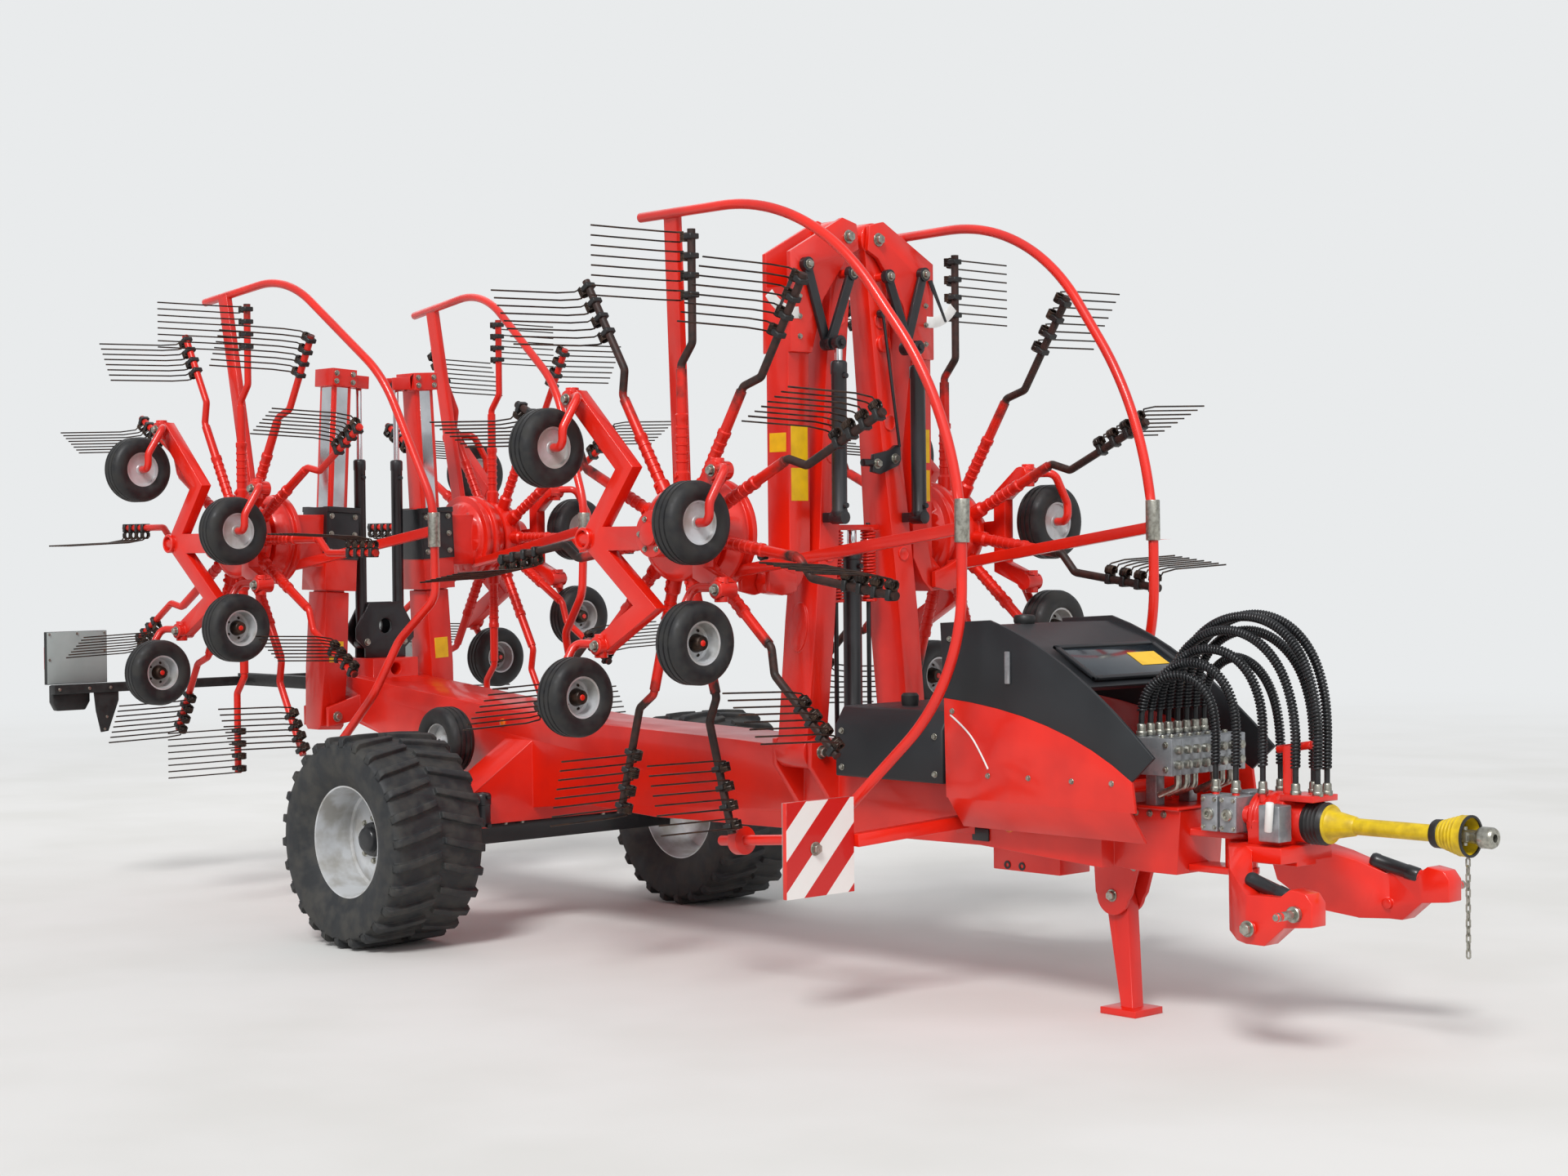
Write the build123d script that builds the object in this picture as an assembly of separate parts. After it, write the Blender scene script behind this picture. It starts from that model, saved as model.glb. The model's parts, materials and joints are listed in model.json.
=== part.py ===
from build123d import *
from math import atan2, cos, degrees, hypot, pi, radians, sin, tan
import os

os.makedirs("parts", exist_ok=True)

# Folded four-rotor rake on its own wheels and parking stand, in millimetres.
# X is measured from the main axle towards the hitch, Y to the left, Z up from the ground.
# Each piece of the right side (Y below 0) is made once, and the left one is its mirror image.

# Reach of the machine
shaft_tip_x = 6230          # front end of the drive shaft's yoke
board_back_x = -3450        # back face of the rear warning boards
middle_x = (shaft_tip_x + board_back_x) / 2

# Clearances
running = 0.05              # radial clearance of a pin in its bore
seat = 0.3                  # gap between moving pieces that carry each other
free = 6                    # least gap between moving pieces that only pass

# Main wheels
tyre_radius = 585
tyre_width = 600
lug_height = 26
lug_pairs = 26
wheel_y = 1200              # middle of each main wheel
rim_radius = 305
spindle_radius = 40
spindle_end = 65            # how far the spindle passes the wheel's middle

# Gauge wheels, under and beside every rotor
gauge_radius = 202
gauge_width = 165
gauge_rim_radius = 101
gauge_pin = 15
gauge_y = 1290              # middle of each gauge wheel
gauge_trail = 260           # from the fork's knuckle down to the wheel's axle

# Frame
beam_half = 250             # half width of the main beam
beam_top = 1040             # top of the drawbar under the tank and the hood
nose_x = 4735               # front end of the beam, clear of the pumps as they swing
nose_top = 995
nose_half = 160             # half width of the beam's nose

# Hitch
swivel_x = 4950
swivel_pin = 30
link_pin_radius = 18.3      # lower link pins
link_pin_x = 5640
link_pin_z = 650
link_y = 510                # middle of each yoke head
shaft_z = 960               # height of the drive shaft
yoke_bore = 17.5            # splined bore of the shaft's front yoke

# Front arms
lift_x = 2500
lift_y = 370
lift_z = 1150
knee_y = 107
knee_z = 3750
lift_pin = 35
level_y = 545
level_z = 2000
level_pin = 22
arm_half = 105              # half length of an inner arm along X, at its foot
outer_half = 80             # half length of an outer arm along X

# Rear arms
fold_x = -1750
fold_y = 420
fold_z = 1150
fold_pin = 30
rail_lean = 0.0537          # how far the rail leans inwards for each unit up
rail_half_x = 75
rail_half_y = 65
rail_start = 770            # along the arm, from its pivot
rail_end = 2050
slide_travel = 750

# Rotors
drum_inner = 868            # the drum's inner end, as a distance from the middle plane
drum_width = 167
drum_radius = 235
drum_outer = drum_inner + drum_width
rotor_y = drum_inner + drum_width / 2 - 2    # plane of the tine arms
rotor_shaft = 55
arm_root = 27               # radius of a tine arm near the drum, and of its outer part
arm_bar = 21
arm_bend = 840              # radius at which the arm steps sideways
arm_step = 85
tine_first = 1152           # radius of the innermost tine
tine_count = 8
tine_side = 9
tine_tip_y = 1493           # how far the tines reach outwards
coil_radius = 31
chassis_inner = drum_outer + 17    # the box-section wheel chassis under each rotor
chassis_depth = 68
chassis_outer = chassis_inner + chassis_depth
hoop_radius = 25

front_centre = (2270, 2250)
rear_centre = (-1820, 2250)

# Knuckles of the gauge wheels: x and z from the rotor's centre, side of the wheel its fork comes from
knuckles = [(-650, 700, 1), (450, 310, 1), (470, -260, -1), (-440, -550, -1)]


def save(node, shape):
    """Write one piece, moved so that the origin lies under the middle of the machine."""
    export_step(Pos(-middle_x, 0, 0) * shape, f"parts/{node}.step")


def side_plate(points, y_low, y_high):
    """A plate drawn in the XZ plane."""
    outline = Plane.XZ * Polygon(*points)
    return Pos(0, y_low, 0) * extrude(outline, amount=y_high - y_low, dir=(0, 1, 0))


def front_plate(points, x_low, x_high):
    """A plate drawn in the YZ plane."""
    outline = Plane.YZ * Polygon(*points)
    return Pos(x_low, 0, 0) * extrude(outline, amount=x_high - x_low, dir=(1, 0, 0))


def top_plate(points, z_low, z_high):
    """A plate drawn in the XY plane."""
    return Pos(0, 0, z_low) * extrude(Polygon(*points), amount=z_high - z_low, dir=(0, 0, 1))


def block(x_low, x_high, y_low, y_high, z_low, z_high):
    """A box between two corners."""
    middle = Pos((x_low + x_high) / 2, (y_low + y_high) / 2, (z_low + z_high) / 2)
    return middle * Box(x_high - x_low, y_high - y_low, z_high - z_low)


def bar(start, end, radius):
    """A round bar between two points."""
    line = Vector(*end) - Vector(*start)
    lying = Plane(origin=start, z_dir=line)
    return lying * Cylinder(radius, line.length, align=(Align.CENTER, Align.CENTER, Align.MIN))


def beam(start, end, width, height):
    """A rectangular tube between two points, its height in the upright plane."""
    line = Vector(*end) - Vector(*start)
    across = line.cross(Vector(0, 0, 1))
    section = Plane(origin=start, x_dir=across, z_dir=line) * Rectangle(width, height)
    return extrude(section, amount=line.length, dir=line)


def turned(points, origin, direction):
    """A solid of revolution: each point is a distance along the axis and a radius."""
    along = Vector(*direction)
    plane = Plane(origin=origin, x_dir=along, z_dir=along.cross(Vector(0, 0, 1)))
    return revolve(plane * Polygon(*points), axis=Axis(origin, direction))


def pipe(points, bends, radius):
    """A round pipe along straight runs joined by arcs."""
    path = FilletPolyline(*points, radius=bends)
    section = Plane(origin=points[0], z_dir=path % 0) * Circle(radius)
    return sweep(section, path=path)


def bent(start, pull, end, steps=8):
    """Points along a curve that leaves start towards pull and arrives at end from there."""
    curve = []
    for step in range(steps + 1):
        t = step / steps
        curve.append(tuple(a * (1 - t) ** 2 + b * 2 * t * (1 - t) + c * t * t for a, b, c in zip(start, pull, end)))
    return curve


def ribbon(points, width):
    """The mitred outline of a flat bar of one width that follows points."""
    upper, lower = [], []
    for number, (u, v) in enumerate(points):
        before = points[max(number - 1, 0)]
        after = points[min(number + 1, len(points) - 1)]
        into = atan2(v - before[1], u - before[0]) if number else None
        out = atan2(after[1] - v, after[0] - u) if number < len(points) - 1 else into
        into = out if into is None else into
        half_turn = (out - into + radians(180)) % radians(360) / 2 - radians(90)
        heading = into + half_turn
        reach = width / 2 / cos(half_turn)
        upper.append((u - reach * sin(heading), v + reach * cos(heading)))
        lower.append((u + reach * sin(heading), v - reach * cos(heading)))
    return upper + lower[::-1]


def mirrored(shape):
    """The left-hand twin of a right-hand piece."""
    return mirror(shape, about=Plane.XZ)


def both(shape):
    """A right-hand piece and its twin, as one shape."""
    return shape + mirrored(shape)


def save_sides(place, name, shape):
    """Write a right-hand piece and its left-hand twin as two nodes."""
    save(f"{place}_right_{name}", shape)
    save(f"{place}_left_{name}", mirrored(shape))


# Main frame

def main_frame():
    """The drawbar beam, the axle carrier, the arm brackets and the swivel's fork."""
    rear_x = -2000
    side = [(rear_x, 1190), (rear_x, 1405), (-1710, 1390), (-510, 1280), (500, 1205), (1870, 1170),
            (2340, 1150), (2720, 1150), (2760, beam_top), (4400, beam_top), (4440, nose_top), (nose_x, nose_top),
            (nose_x - 25, 692), (4520, 692), (3600, 748), (1200, 714), (630, 740), (30, 680), (-1000, 950),
            (-1900, 1160)]
    frame = side_plate(side, -beam_half, beam_half)
    for y_low, y_high in ((-beam_half, -nose_half), (nose_half, beam_half)):
        frame -= block(4350, nose_x + 1, y_low, y_high, 600, 1100)
    carrier = [(-800, 620), (-800, 720), (-200, 1110), (200, 1110), (800, 720), (800, 620)]
    frame += front_plate(carrier, -130, 130)
    frame += lift_ears() + mirrored(lift_ears())
    frame += fold_ears() + mirrored(fold_ears())
    frame += block(fold_x - 170, fold_x + 170, -170, 170, 1350, 1500)
    frame -= bar((fold_x - 171, 0, 1432), (fold_x + 171, 0, 1432), 38)
    frame += block(3560, 3980, -110, 110, 620, 740)
    for side in (-1, 1):
        frame += bar((168, side * 640, 610), (168, side * 640, 800), 46)
    frame += block(4440, nose_x, -nose_half - 16, nose_half + 16, nose_top - 14, nose_top)
    return frame + swivel_fork() + stand_bracket()


def lift_ears():
    """The fork beside the beam that holds the foot of a front arm, with its pin."""
    outline = [(-lift_y - 70, lift_z - 70), (-lift_y - 70, lift_z + 60), (-lift_y + 40, lift_z + 90),
               (-beam_half + 10, 1150), (-beam_half + 10, 820)]
    gap = arm_half + free
    ears = front_plate(outline, lift_x - gap - 32, lift_x - gap)
    ears += front_plate(outline, lift_x + gap, lift_x + gap + 32)
    return ears + bar((lift_x - gap, -lift_y, lift_z), (lift_x + gap, -lift_y, lift_z), lift_pin)


def fold_ears():
    """The fork beside the beam that holds the foot of a rear arm, with its pin."""
    outline = [(-fold_y - 65, fold_z - 60), (-fold_y - 65, fold_z + 60), (-beam_half + 10, 1280),
               (-beam_half + 10, 1125)]
    gap = 105 + free
    ears = front_plate(outline, fold_x - gap - 28, fold_x - gap)
    ears += front_plate(outline, fold_x + gap, fold_x + gap + 28)
    return ears + bar((fold_x - gap, -fold_y, fold_z), (fold_x + gap, -fold_y, fold_z), fold_pin)


fork_low = 735              # top of the lower swivel plate
fork_high = 866             # underside of the upper swivel plate
fork_plate = 30


def swivel_fork():
    """The two plates and the upright pin that the hitch yoke turns on."""
    fork = None
    for z_low, z_high in ((fork_low - fork_plate, fork_low), (fork_high, fork_high + fork_plate)):
        plate = block(nose_x - 20, swivel_x, -80, 80, z_low, z_high)
        plate += bar((swivel_x, 0, z_low), (swivel_x, 0, z_high), 80)
        fork = plate if fork is None else fork + plate
    return fork + bar((swivel_x, 0, fork_low), (swivel_x, 0, fork_high), swivel_pin)


stand_x = 4260
stand_z = 550
stand_pin = 20
stand_half = 40


def stand_bracket():
    """The round-ended plates under the nose that hold the parking stand."""
    outline = [(4150, 720), (4420, 720), (4370, 560), (4320, 490), (4200, 490), (4160, 560)]
    gap = stand_half + free
    bracket = side_plate(outline, -gap - 22, -gap) + side_plate(outline, gap, gap + 22)
    for side in (-1, 1):
        bracket += bar((stand_x, side * gap, stand_z), (stand_x, side * (gap + 22), stand_z), 92)
    return bracket + bar((stand_x, -gap, stand_z), (stand_x, gap, stand_z), stand_pin)


# Axle and main wheels

def axle_beam():
    """The dark beam under the carrier, with the spindles that the wheels turn on."""
    axle = block(-60, 60, -850, 850, 500, 620)
    for side in (-1, 1):
        axle += bar((0, side * 845, tyre_radius), (0, side * (wheel_y - 101), tyre_radius), 60)
        axle += bar((0, side * 845, tyre_radius), (0, side * (wheel_y + spindle_end), tyre_radius), spindle_radius)
    return axle


def main_tyre():
    """The wide tyre of the right main wheel."""
    half = tyre_width / 2
    crown = tyre_radius - lug_height
    profile = [(-half + 60, rim_radius), (-half + 10, 400), (-half, 470), (-half + 12, crown - 28),
               (-half + 45, crown - 8), (-120, crown), (120, crown), (half - 45, crown - 8),
               (half - 12, crown - 28), (half, 470), (half - 10, 400), (half - 60, rim_radius)]
    tyre = turned(profile, (0, 0, 0), (0, -1, 0))
    lugs = []
    for side in (-1, 1):
        outline = [(-16, side * 8), (20, side * 8), (62, side * 160), (88, side * (half - 10)),
                   (44, side * (half - 10)), (24, side * 170)]
        lug = top_plate(outline, crown - 40, tyre_radius)
        for number in range(lug_pairs):
            turn = (number + side * 0.25) * 360 / lug_pairs
            lugs.append(Rot(0, turn, 0) * lug)
    worn = turned([(-half - 1, crown - 60), (-half - 1, crown - 8), (-half + 30, tyre_radius - 6), (-150, tyre_radius),
                   (150, tyre_radius), (half - 30, tyre_radius - 6), (half + 1, crown - 8),
                   (half + 1, crown - 60)], (0, 0, 0), (0, -1, 0))
    tread = (Part() + lugs) & worn
    return Pos(0, -wheel_y, tyre_radius) * (tyre + tread)


def main_rim():
    """The deep dished rim of the right main wheel, with its hub."""
    bore = spindle_radius + running
    profile = [(-240, rim_radius), (240, rim_radius), (240, 293), (14, 293), (54, 170), (54, 90),
               (110, 80), (110, 0), (spindle_end + 5, 0), (spindle_end + 5, bore), (-100, bore), (-100, 85),
               (40, 85), (40, 165), (0, 293), (-240, 293)]
    return turned(profile, (0, -wheel_y, tyre_radius), (0, -1, 0))


# Gauge wheels

def gauge_wheel(middle, along):
    """A small wheel: its tyre and its rim, on an axle that runs along one axis."""
    half = gauge_width / 2
    tyre = [(-60, gauge_rim_radius), (-half, 140), (-half + 4, 175), (-50, gauge_radius),
            (50, gauge_radius), (half - 4, 175), (half, 140), (60, gauge_rim_radius)]
    bore = gauge_pin + running
    rim = [(-60, gauge_rim_radius), (60, gauge_rim_radius), (60, 93), (12, 93), (12, 32), (45, 32),
           (45, bore), (-45, bore), (-45, 32), (0, 32), (0, 93), (-60, 93)]
    return turned(tyre, middle, along) + turned(rim, middle, along)


def gauge_fork(centre, knuckle):
    """The knuckle, the curved pipe and the axle pin that carry one gauge wheel."""
    x = centre[0] + knuckle[0]
    z = centre[1] + knuckle[1]
    hand = knuckle[2]
    wheel_z = z - gauge_trail
    beside = x + hand * (gauge_width / 2 + 48)
    swivel = bar((x, -chassis_inner, z - 10), (x, -chassis_outer - 40, z - 10), 46)
    swivel += bar((x, -chassis_outer, z - 70), (x, -chassis_outer, z + 50), 34)
    corners = [(x, -chassis_outer, z), (beside, -chassis_outer - 65, z), (beside, -gauge_y, wheel_z + 95),
               (beside, -gauge_y, wheel_z), (x + hand * 52, -gauge_y, wheel_z)]
    arm = pipe(corners, [50, 70, 45], 22)
    pin = bar((x + hand * 60, -gauge_y, wheel_z), (x - hand * 60, -gauge_y, wheel_z), gauge_pin)
    return swivel + arm + pin


# Rotors

def housing(centre, inner):
    """The ridged gear housing on the inner side of a rotor, with the rotor's shaft."""
    profile = [(inner, 0), (inner, 150), (665, 215), (700, 235), (700, 275), (730, 275), (738, 250),
               (765, 250), (773, 275), (800, 275), (drum_inner - free, 240), (drum_inner - free, 0)]
    axle_point = (centre[0], 0, centre[1])
    shape = turned(profile, axle_point, (0, -1, 0))
    return shape + bar((centre[0], -800, centre[1]), (centre[0], -chassis_outer, centre[1]), rotor_shaft)


def chassis(centre):
    """The box-section wheel chassis on the outer side of a rotor, with its four gauge wheel forks."""
    x, z = centre
    points = [(x + along, z + up) for along, up, hand in knuckles]
    boss = (x - 540, z - 20)
    bar_x = x + 300
    runs = [([points[0], (x - 250, z + 330), boss, (x - 100, z - 360), points[3]], 100),
            ([boss, (x, z - 20), (bar_x, z)], 120),
            ([points[1], (bar_x, z + 190), (bar_x, z - 190), points[2]], 80)]
    frame = bar((x, -drum_outer - free, z), (x, -chassis_outer - 40, z), 115)
    frame += bar((boss[0] - 70, -chassis_outer + 36, boss[1]), (boss[0] + 30, -chassis_outer + 36, boss[1]), 52)
    for run, width in runs:
        frame += side_plate(ribbon(run, width), -chassis_outer, -chassis_inner)
    for knuckle in knuckles:
        frame += gauge_fork(centre, knuckle)
    return frame


def tine_arm(reach):
    """One arm of a rotor, pointing up: its stepped tube, and the coils and tines on its outer part."""
    top = arm_bend + 100
    arm = bar((0, -rotor_y, 190), (0, -rotor_y, arm_bend + 8), arm_root)
    arm += bar((0, -rotor_y, arm_bend - 8), (arm_step, -rotor_y, top + 8), arm_bar + 2)
    arm += bar((arm_step, -rotor_y, top - 8), (arm_step, -rotor_y, reach), arm_bar)
    coil_x = arm_step - arm_bar - coil_radius + 6
    pitch = (reach - 12 - tine_first) / (tine_count - 1)
    wire = ribbon([(coil_x - coil_radius + 6, -rotor_y), (coil_x - coil_radius - 30, -rotor_y - 190),
                   (coil_x - coil_radius - 34, -tine_tip_y)], tine_side)
    for number in range(tine_count):
        height = tine_first + number * pitch
        arm += top_plate(wire, height - tine_side / 2, height + tine_side / 2)
        if number % 2 == 0:
            coil = Pos(coil_x, -rotor_y, height - 9) * RegularPolygon(coil_radius, 8)
            arm += extrude(coil, amount=pitch + 18, dir=(0, 0, 1))
    return arm


def tine_rotor(centre, arms, reach):
    """The drum with its tine arms, each with a sideways step before its outer part."""
    profile = [(drum_inner, rotor_shaft + running), (drum_inner, 180), (drum_inner + 20, drum_radius),
               (drum_outer - 30, drum_radius), (drum_outer, 190), (drum_outer, rotor_shaft + running)]
    hub = turned(profile, (0, 0, 0), (0, -1, 0))
    arm = tine_arm(reach)
    hub += [Rot(0, number * 360 / arms, 0) * arm for number in range(arms)]
    return Pos(centre[0], 0, centre[1]) * hub


def front_hoop():
    """The tube hoop round a front rotor, its upright, its stay and its collar."""
    corners = [(1850, -850, 3860), (3030, -790, 3875), (3910, -690, 2740), (3910, -700, 1560),
               (3120, -850, 790), (2420, -850, 730)]
    hoop = pipe(corners, [1200, 1700, 1000, 500], hoop_radius)
    roller = bar((2540, -850, 740), (2600, -850, 745), 70)
    upright = side_plate(ribbon([(2060, 3866), (2115, 2440)], 95), -835, -795)
    stay = beam((2430, -740, 2060), (3905, -692, 2260), 40, 55)
    collar = bar((3910, -692, 2200), (3910, -690, 2390), hoop_radius + 9)
    return hoop + roller + upright + stay + collar


def rear_hoop():
    """The tube hoop round a rear rotor, its upright, its stay and its collar."""
    corners = [(-2470, -800, 3750), (-1620, -740, 3850), (-750, -640, 3200), (-375, -560, 2440),
               (-385, -545, 1900), (-650, -620, 1650), (-730, -750, 1330), (-1040, -850, 960)]
    hoop = pipe(corners, [700, 800, 500, 160, 160, 200], hoop_radius)
    upright = side_plate(ribbon([(-2250, 3774), (-1960, 2440)], 95), -810, -770)
    stay = beam((-1690, -700, 2080), (-380, -560, 2290), 40, 55)
    collar = bar((-378, -556, 2200), (-377, -558, 2390), hoop_radius + 9)
    return hoop + upright + stay + collar


def front_rotor_frame():
    """Everything of a front rotor that doesn't spin, with the lugs of its levelling hinge."""
    frame = housing(front_centre, 640) + chassis(front_centre) + front_hoop()
    gap = outer_half + free
    pin_start = (lift_x - gap - 30, -level_y, level_z)
    pin_end = (lift_x + gap + 30, -level_y, level_z)
    lug = [(-690, level_z - 40), (-690, level_z + 110), (-600, level_z + 70), (-level_y + 45, level_z + 40),
           (-level_y + 45, level_z - 40), (-600, level_z - 60)]
    frame += front_plate(lug, lift_x - gap - 30, lift_x - gap)
    frame += front_plate(lug, lift_x + gap, lift_x + gap + 30)
    return frame + bar(pin_start, pin_end, level_pin)


# Front arms

def front_lean(shape):
    """Place a piece drawn along Z from the lift pivot on the leaning inner arm."""
    lean = degrees(atan2(lift_y - knee_y, knee_z - lift_z))
    return Pos(lift_x, -lift_y, lift_z) * Rot(-lean, 0, 0) * shape


arm_length = hypot(lift_y - knee_y, knee_z - lift_z)


def inner_arm():
    """The right inner arm: a tapering box with a round foot, a round head and raised bosses."""
    half = 68
    side = [(-arm_half, 0), (-arm_half - 8, 650), (-arm_half, 1050), (-80, 1650), (-70, 2250),
            (-70, arm_length), (70, arm_length), (70, 2250), (80, 1650), (arm_half, 1050),
            (arm_half + 8, 650), (arm_half, 0)]
    arm = side_plate(side, -half, half)
    arm += bar((-arm_half, 0, 0), (arm_half, 0, 0), 88)
    arm += bar((-70, 0, arm_length), (70, 0, arm_length), 88)
    for along, boss in ((1500, 45), (2080, 45)):
        arm += bar((60, 0, along), (92, 0, along), boss)
    oval = Pos(0, -half - 14, 620) * extrude(Plane.XZ * Ellipse(62, 125), amount=30, dir=(0, 1, 0))
    arm += oval
    arm -= bar((-120, 0, 0), (120, 0, 0), lift_pin + running)
    arm -= bar((-120, 0, arm_length), (120, 0, arm_length), lift_pin + running)
    arm = front_lean(arm)
    link_x = lift_x + 136
    link_z = knee_z - 190
    arm += bar((lift_x + 60, -132, link_z), (link_x + 22, -132, link_z), 22)
    return arm + front_plate(ribbon([(-132, link_z), (-285, knee_z - 550)], 50), link_x, link_x + 20)


def outer_arm():
    """The right outer arm: a box that hangs from a wide two-cheeked head."""
    head = [(-knee_y + 75, knee_z - 60), (-knee_y + 60, knee_z + 70), (-knee_y - 40, knee_z + 95),
            (-515, knee_z - 100), (-515, knee_z - 600), (-370, knee_z - 600), (-290, knee_z - 330),
            (-knee_y, knee_z - 95)]
    head_in = 76                 # inner faces of the cheeks, outside the inner arm's head
    arm = front_plate(head, lift_x - head_in - 28, lift_x - head_in)
    arm += front_plate(head, lift_x + head_in, lift_x + head_in + 28)
    arm += block(lift_x - outer_half, lift_x + outer_half, -515, -372, level_z + 110, knee_z - 270)
    tail = [(-515, level_z + 120), (-372, level_z + 120), (-440, level_z), (-level_y + 40, level_z - 62),
            (-level_y - 40, level_z - 50), (-level_y - 62, level_z), (-level_y - 40, level_z + 55)]
    arm += front_plate(tail, lift_x - outer_half, lift_x + outer_half)
    ends = lift_x - head_in - 28, lift_x + head_in + 28
    arm += bar((ends[0], -knee_y, knee_z), (ends[1], -knee_y, knee_z), lift_pin)
    arm -= bar((lift_x - 100, -level_y, level_z), (lift_x + 100, -level_y, level_z), level_pin + running)
    link_x = ends[1] + free
    link_z = knee_z - 160
    arm += bar((ends[1] - 5, -420, link_z), (link_x + 22, -420, link_z), 22)
    link = ribbon([(-420, link_z), (-285, knee_z - 550)], 50)
    return arm + front_plate(link, link_x, link_x + 20)


cylinder_x = 2705           # middle of the fold cylinder in front of the arms


def fold_cylinder():
    """The short link and the barrel of the fold cylinder, both held by the inner arm."""
    barrel_low = (cylinder_x, -288, 2330)
    barrel_high = (cylinder_x, -284, 3110)
    barrel = bar(barrel_low, barrel_high, 38)
    barrel -= bar((cylinder_x, -287.7, 2390), (cylinder_x, -284, 3111), 21)
    foot = block(lift_x + 100.9, cylinder_x, -312, -262, 2300, 2350)
    foot += bar((cylinder_x - 45, -288, 2325), (cylinder_x + 25, -288, 2325), 34)
    return barrel + foot


def fold_rod():
    """The rod of the fold cylinder with its eye."""
    rod = bar((cylinder_x, -287.5, 2400), (cylinder_x, -283.8, 3170), 20)
    eye = bar((cylinder_x - 20, -283.5, 3200), (cylinder_x + 20, -283.5, 3200), 36)
    return rod + eye


# Rear arms

def rear_lean(shape):
    """Place a piece drawn along Z from the fold pivot on the leaning rear arm."""
    lean = degrees(atan2(rail_lean, 1))
    return Pos(fold_x, -fold_y, fold_z) * Rot(-lean, 0, 0) * shape


def rear_arm():
    """The right rear arm: a broad foot, the rail and the cap that the cylinder pulls."""
    foot = [(-85, -60), (-60, -85), (60, -85), (85, -60), (105, 300), (95, rail_start), (-95, rail_start),
            (-105, 300)]
    arm = side_plate(foot, -85, 85)
    arm += block(-rail_half_x, rail_half_x, -rail_half_y, rail_half_y, rail_start, rail_end)
    arm += block(-100, 100, -90, 90, rail_end, rail_end + 110)
    for side in (-1, 1):
        arm += block(side * 37 - 12, side * 37 + 12, 80, 215, rail_end + 5, rail_end + 85)
    arm -= bar((-120, 0, 0), (120, 0, 0), fold_pin + running)
    return rear_lean(arm)


carrier_low = rail_start + 10
carrier_high = rail_end - slide_travel - free


def rear_rotor_frame():
    """Everything of a rear rotor that doesn't spin, with the carrier that slides on the rail."""
    carrier = block(-130, 130, -115, 115, carrier_low, carrier_high)
    carrier -= block(-rail_half_x - seat, rail_half_x + seat, -rail_half_y - seat, rail_half_y + seat,
                     carrier_low - 1, carrier_high + 1)
    neck = block(fold_x - 120, fold_x + 100, -665, -470, 2080, 2400)
    return rear_lean(carrier) + neck + housing(rear_centre, 640) + chassis(rear_centre) + rear_hoop()


barrel_y = 140
barrel_foot_z = 1600
barrel_top_z = 2750
eye_z = 3225


def lift_barrel():
    """The right rear cylinder's barrel with its foot eye."""
    barrel = bar((fold_x, -barrel_y, barrel_foot_z), (fold_x, -barrel_y, barrel_top_z), 35)
    barrel += bar((fold_x - 30, -barrel_y, barrel_foot_z), (fold_x + 30, -barrel_y, barrel_foot_z), 42)
    barrel -= bar((fold_x, -barrel_y, barrel_foot_z + 70), (fold_x, -barrel_y, barrel_top_z + 1), 19)
    return barrel - bar((fold_x - 40, -barrel_y, barrel_foot_z), (fold_x + 40, -barrel_y, barrel_foot_z),
                        18 + running)


def lift_rod():
    """The right rear cylinder's rod with its eye."""
    rod = bar((fold_x, -barrel_y, barrel_foot_z + 90), (fold_x, -barrel_y, eye_z - 10), 18)
    return rod + bar((fold_x - 19, -barrel_y, eye_z), (fold_x + 19, -barrel_y, eye_z), 30)


def rear_bracket():
    """The black bracket plates between the rear arms, with the cylinders' foot pins."""
    outline = [(-150, 1500), (150, 1500), (150, 1560), (215, 1620), (215, 1690), (120, 1850), (-120, 1850),
               (-215, 1690), (-215, 1620), (-150, 1560)]
    bracket = front_plate(outline, fold_x + 42, fold_x + 62) + front_plate(outline, fold_x - 62, fold_x - 42)
    bracket += block(fold_x - 62, fold_x + 62, -60, 60, 1500, 1530)
    bracket -= bar((fold_x - 63, 0, 1700), (fold_x + 63, 0, 1700), 48)
    for side in (-1, 1):
        y = side * barrel_y
        bracket += bar((fold_x - 62, y, barrel_foot_z), (fold_x + 62, y, barrel_foot_z), 18)
    return bracket


# Hood, tank, valves and hoses

hood_y = 450
bank_x = 4640               # middle of the valve bank
bank_top = 1310


def hood_sides(points):
    """Two side sheets of the hood."""
    sheet = side_plate(points, -hood_y, -hood_y + 18)
    return sheet + mirrored(sheet)


hood_seam = bent((3560, 1460), (4275, 1415), (4690, 1130))     # where the black sheets meet the red ones


def hood_lower():
    """The red lower side sheets with the cross bars that rest on the beam."""
    outline = hood_seam + [(4710, 990), (3570, 990)]
    flange = [(-hood_y, 990), (-hood_y + 18, 990), (-hood_y + 128, 845), (-hood_y + 108, 845)]
    sheets = hood_sides(outline) + both(front_plate(flange, 3580, 4680))
    for x in (3640, 4280):
        sheets += block(x, x + 60, -hood_y + 1, hood_y - 1, beam_top, beam_top + 40)
    return sheets


def hood_upper():
    """The black upper side sheets and the cover between them."""
    outline = [(3540, 1815)] + bent((3850, 1832), (4318, 1704), (4815, 1240)) + hood_seam[::-1]
    cover = ribbon([(3550, 1785), (3850, 1795), (4130, 1700), (4430, 1530)], 22)
    return hood_sides(outline) + side_plate(cover, -hood_y + 1, hood_y - 1)


def oil_tank():
    """The black oil tank behind the hood, with its sloping top edges."""
    outline = [(-420, 1045), (420, 1045), (420, 1300), (360, 1390), (-360, 1390), (-420, 1300)]
    return front_plate(outline, 2790, 3520) + block(2900, 3400, -200, 200, beam_top, 1050)


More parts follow.
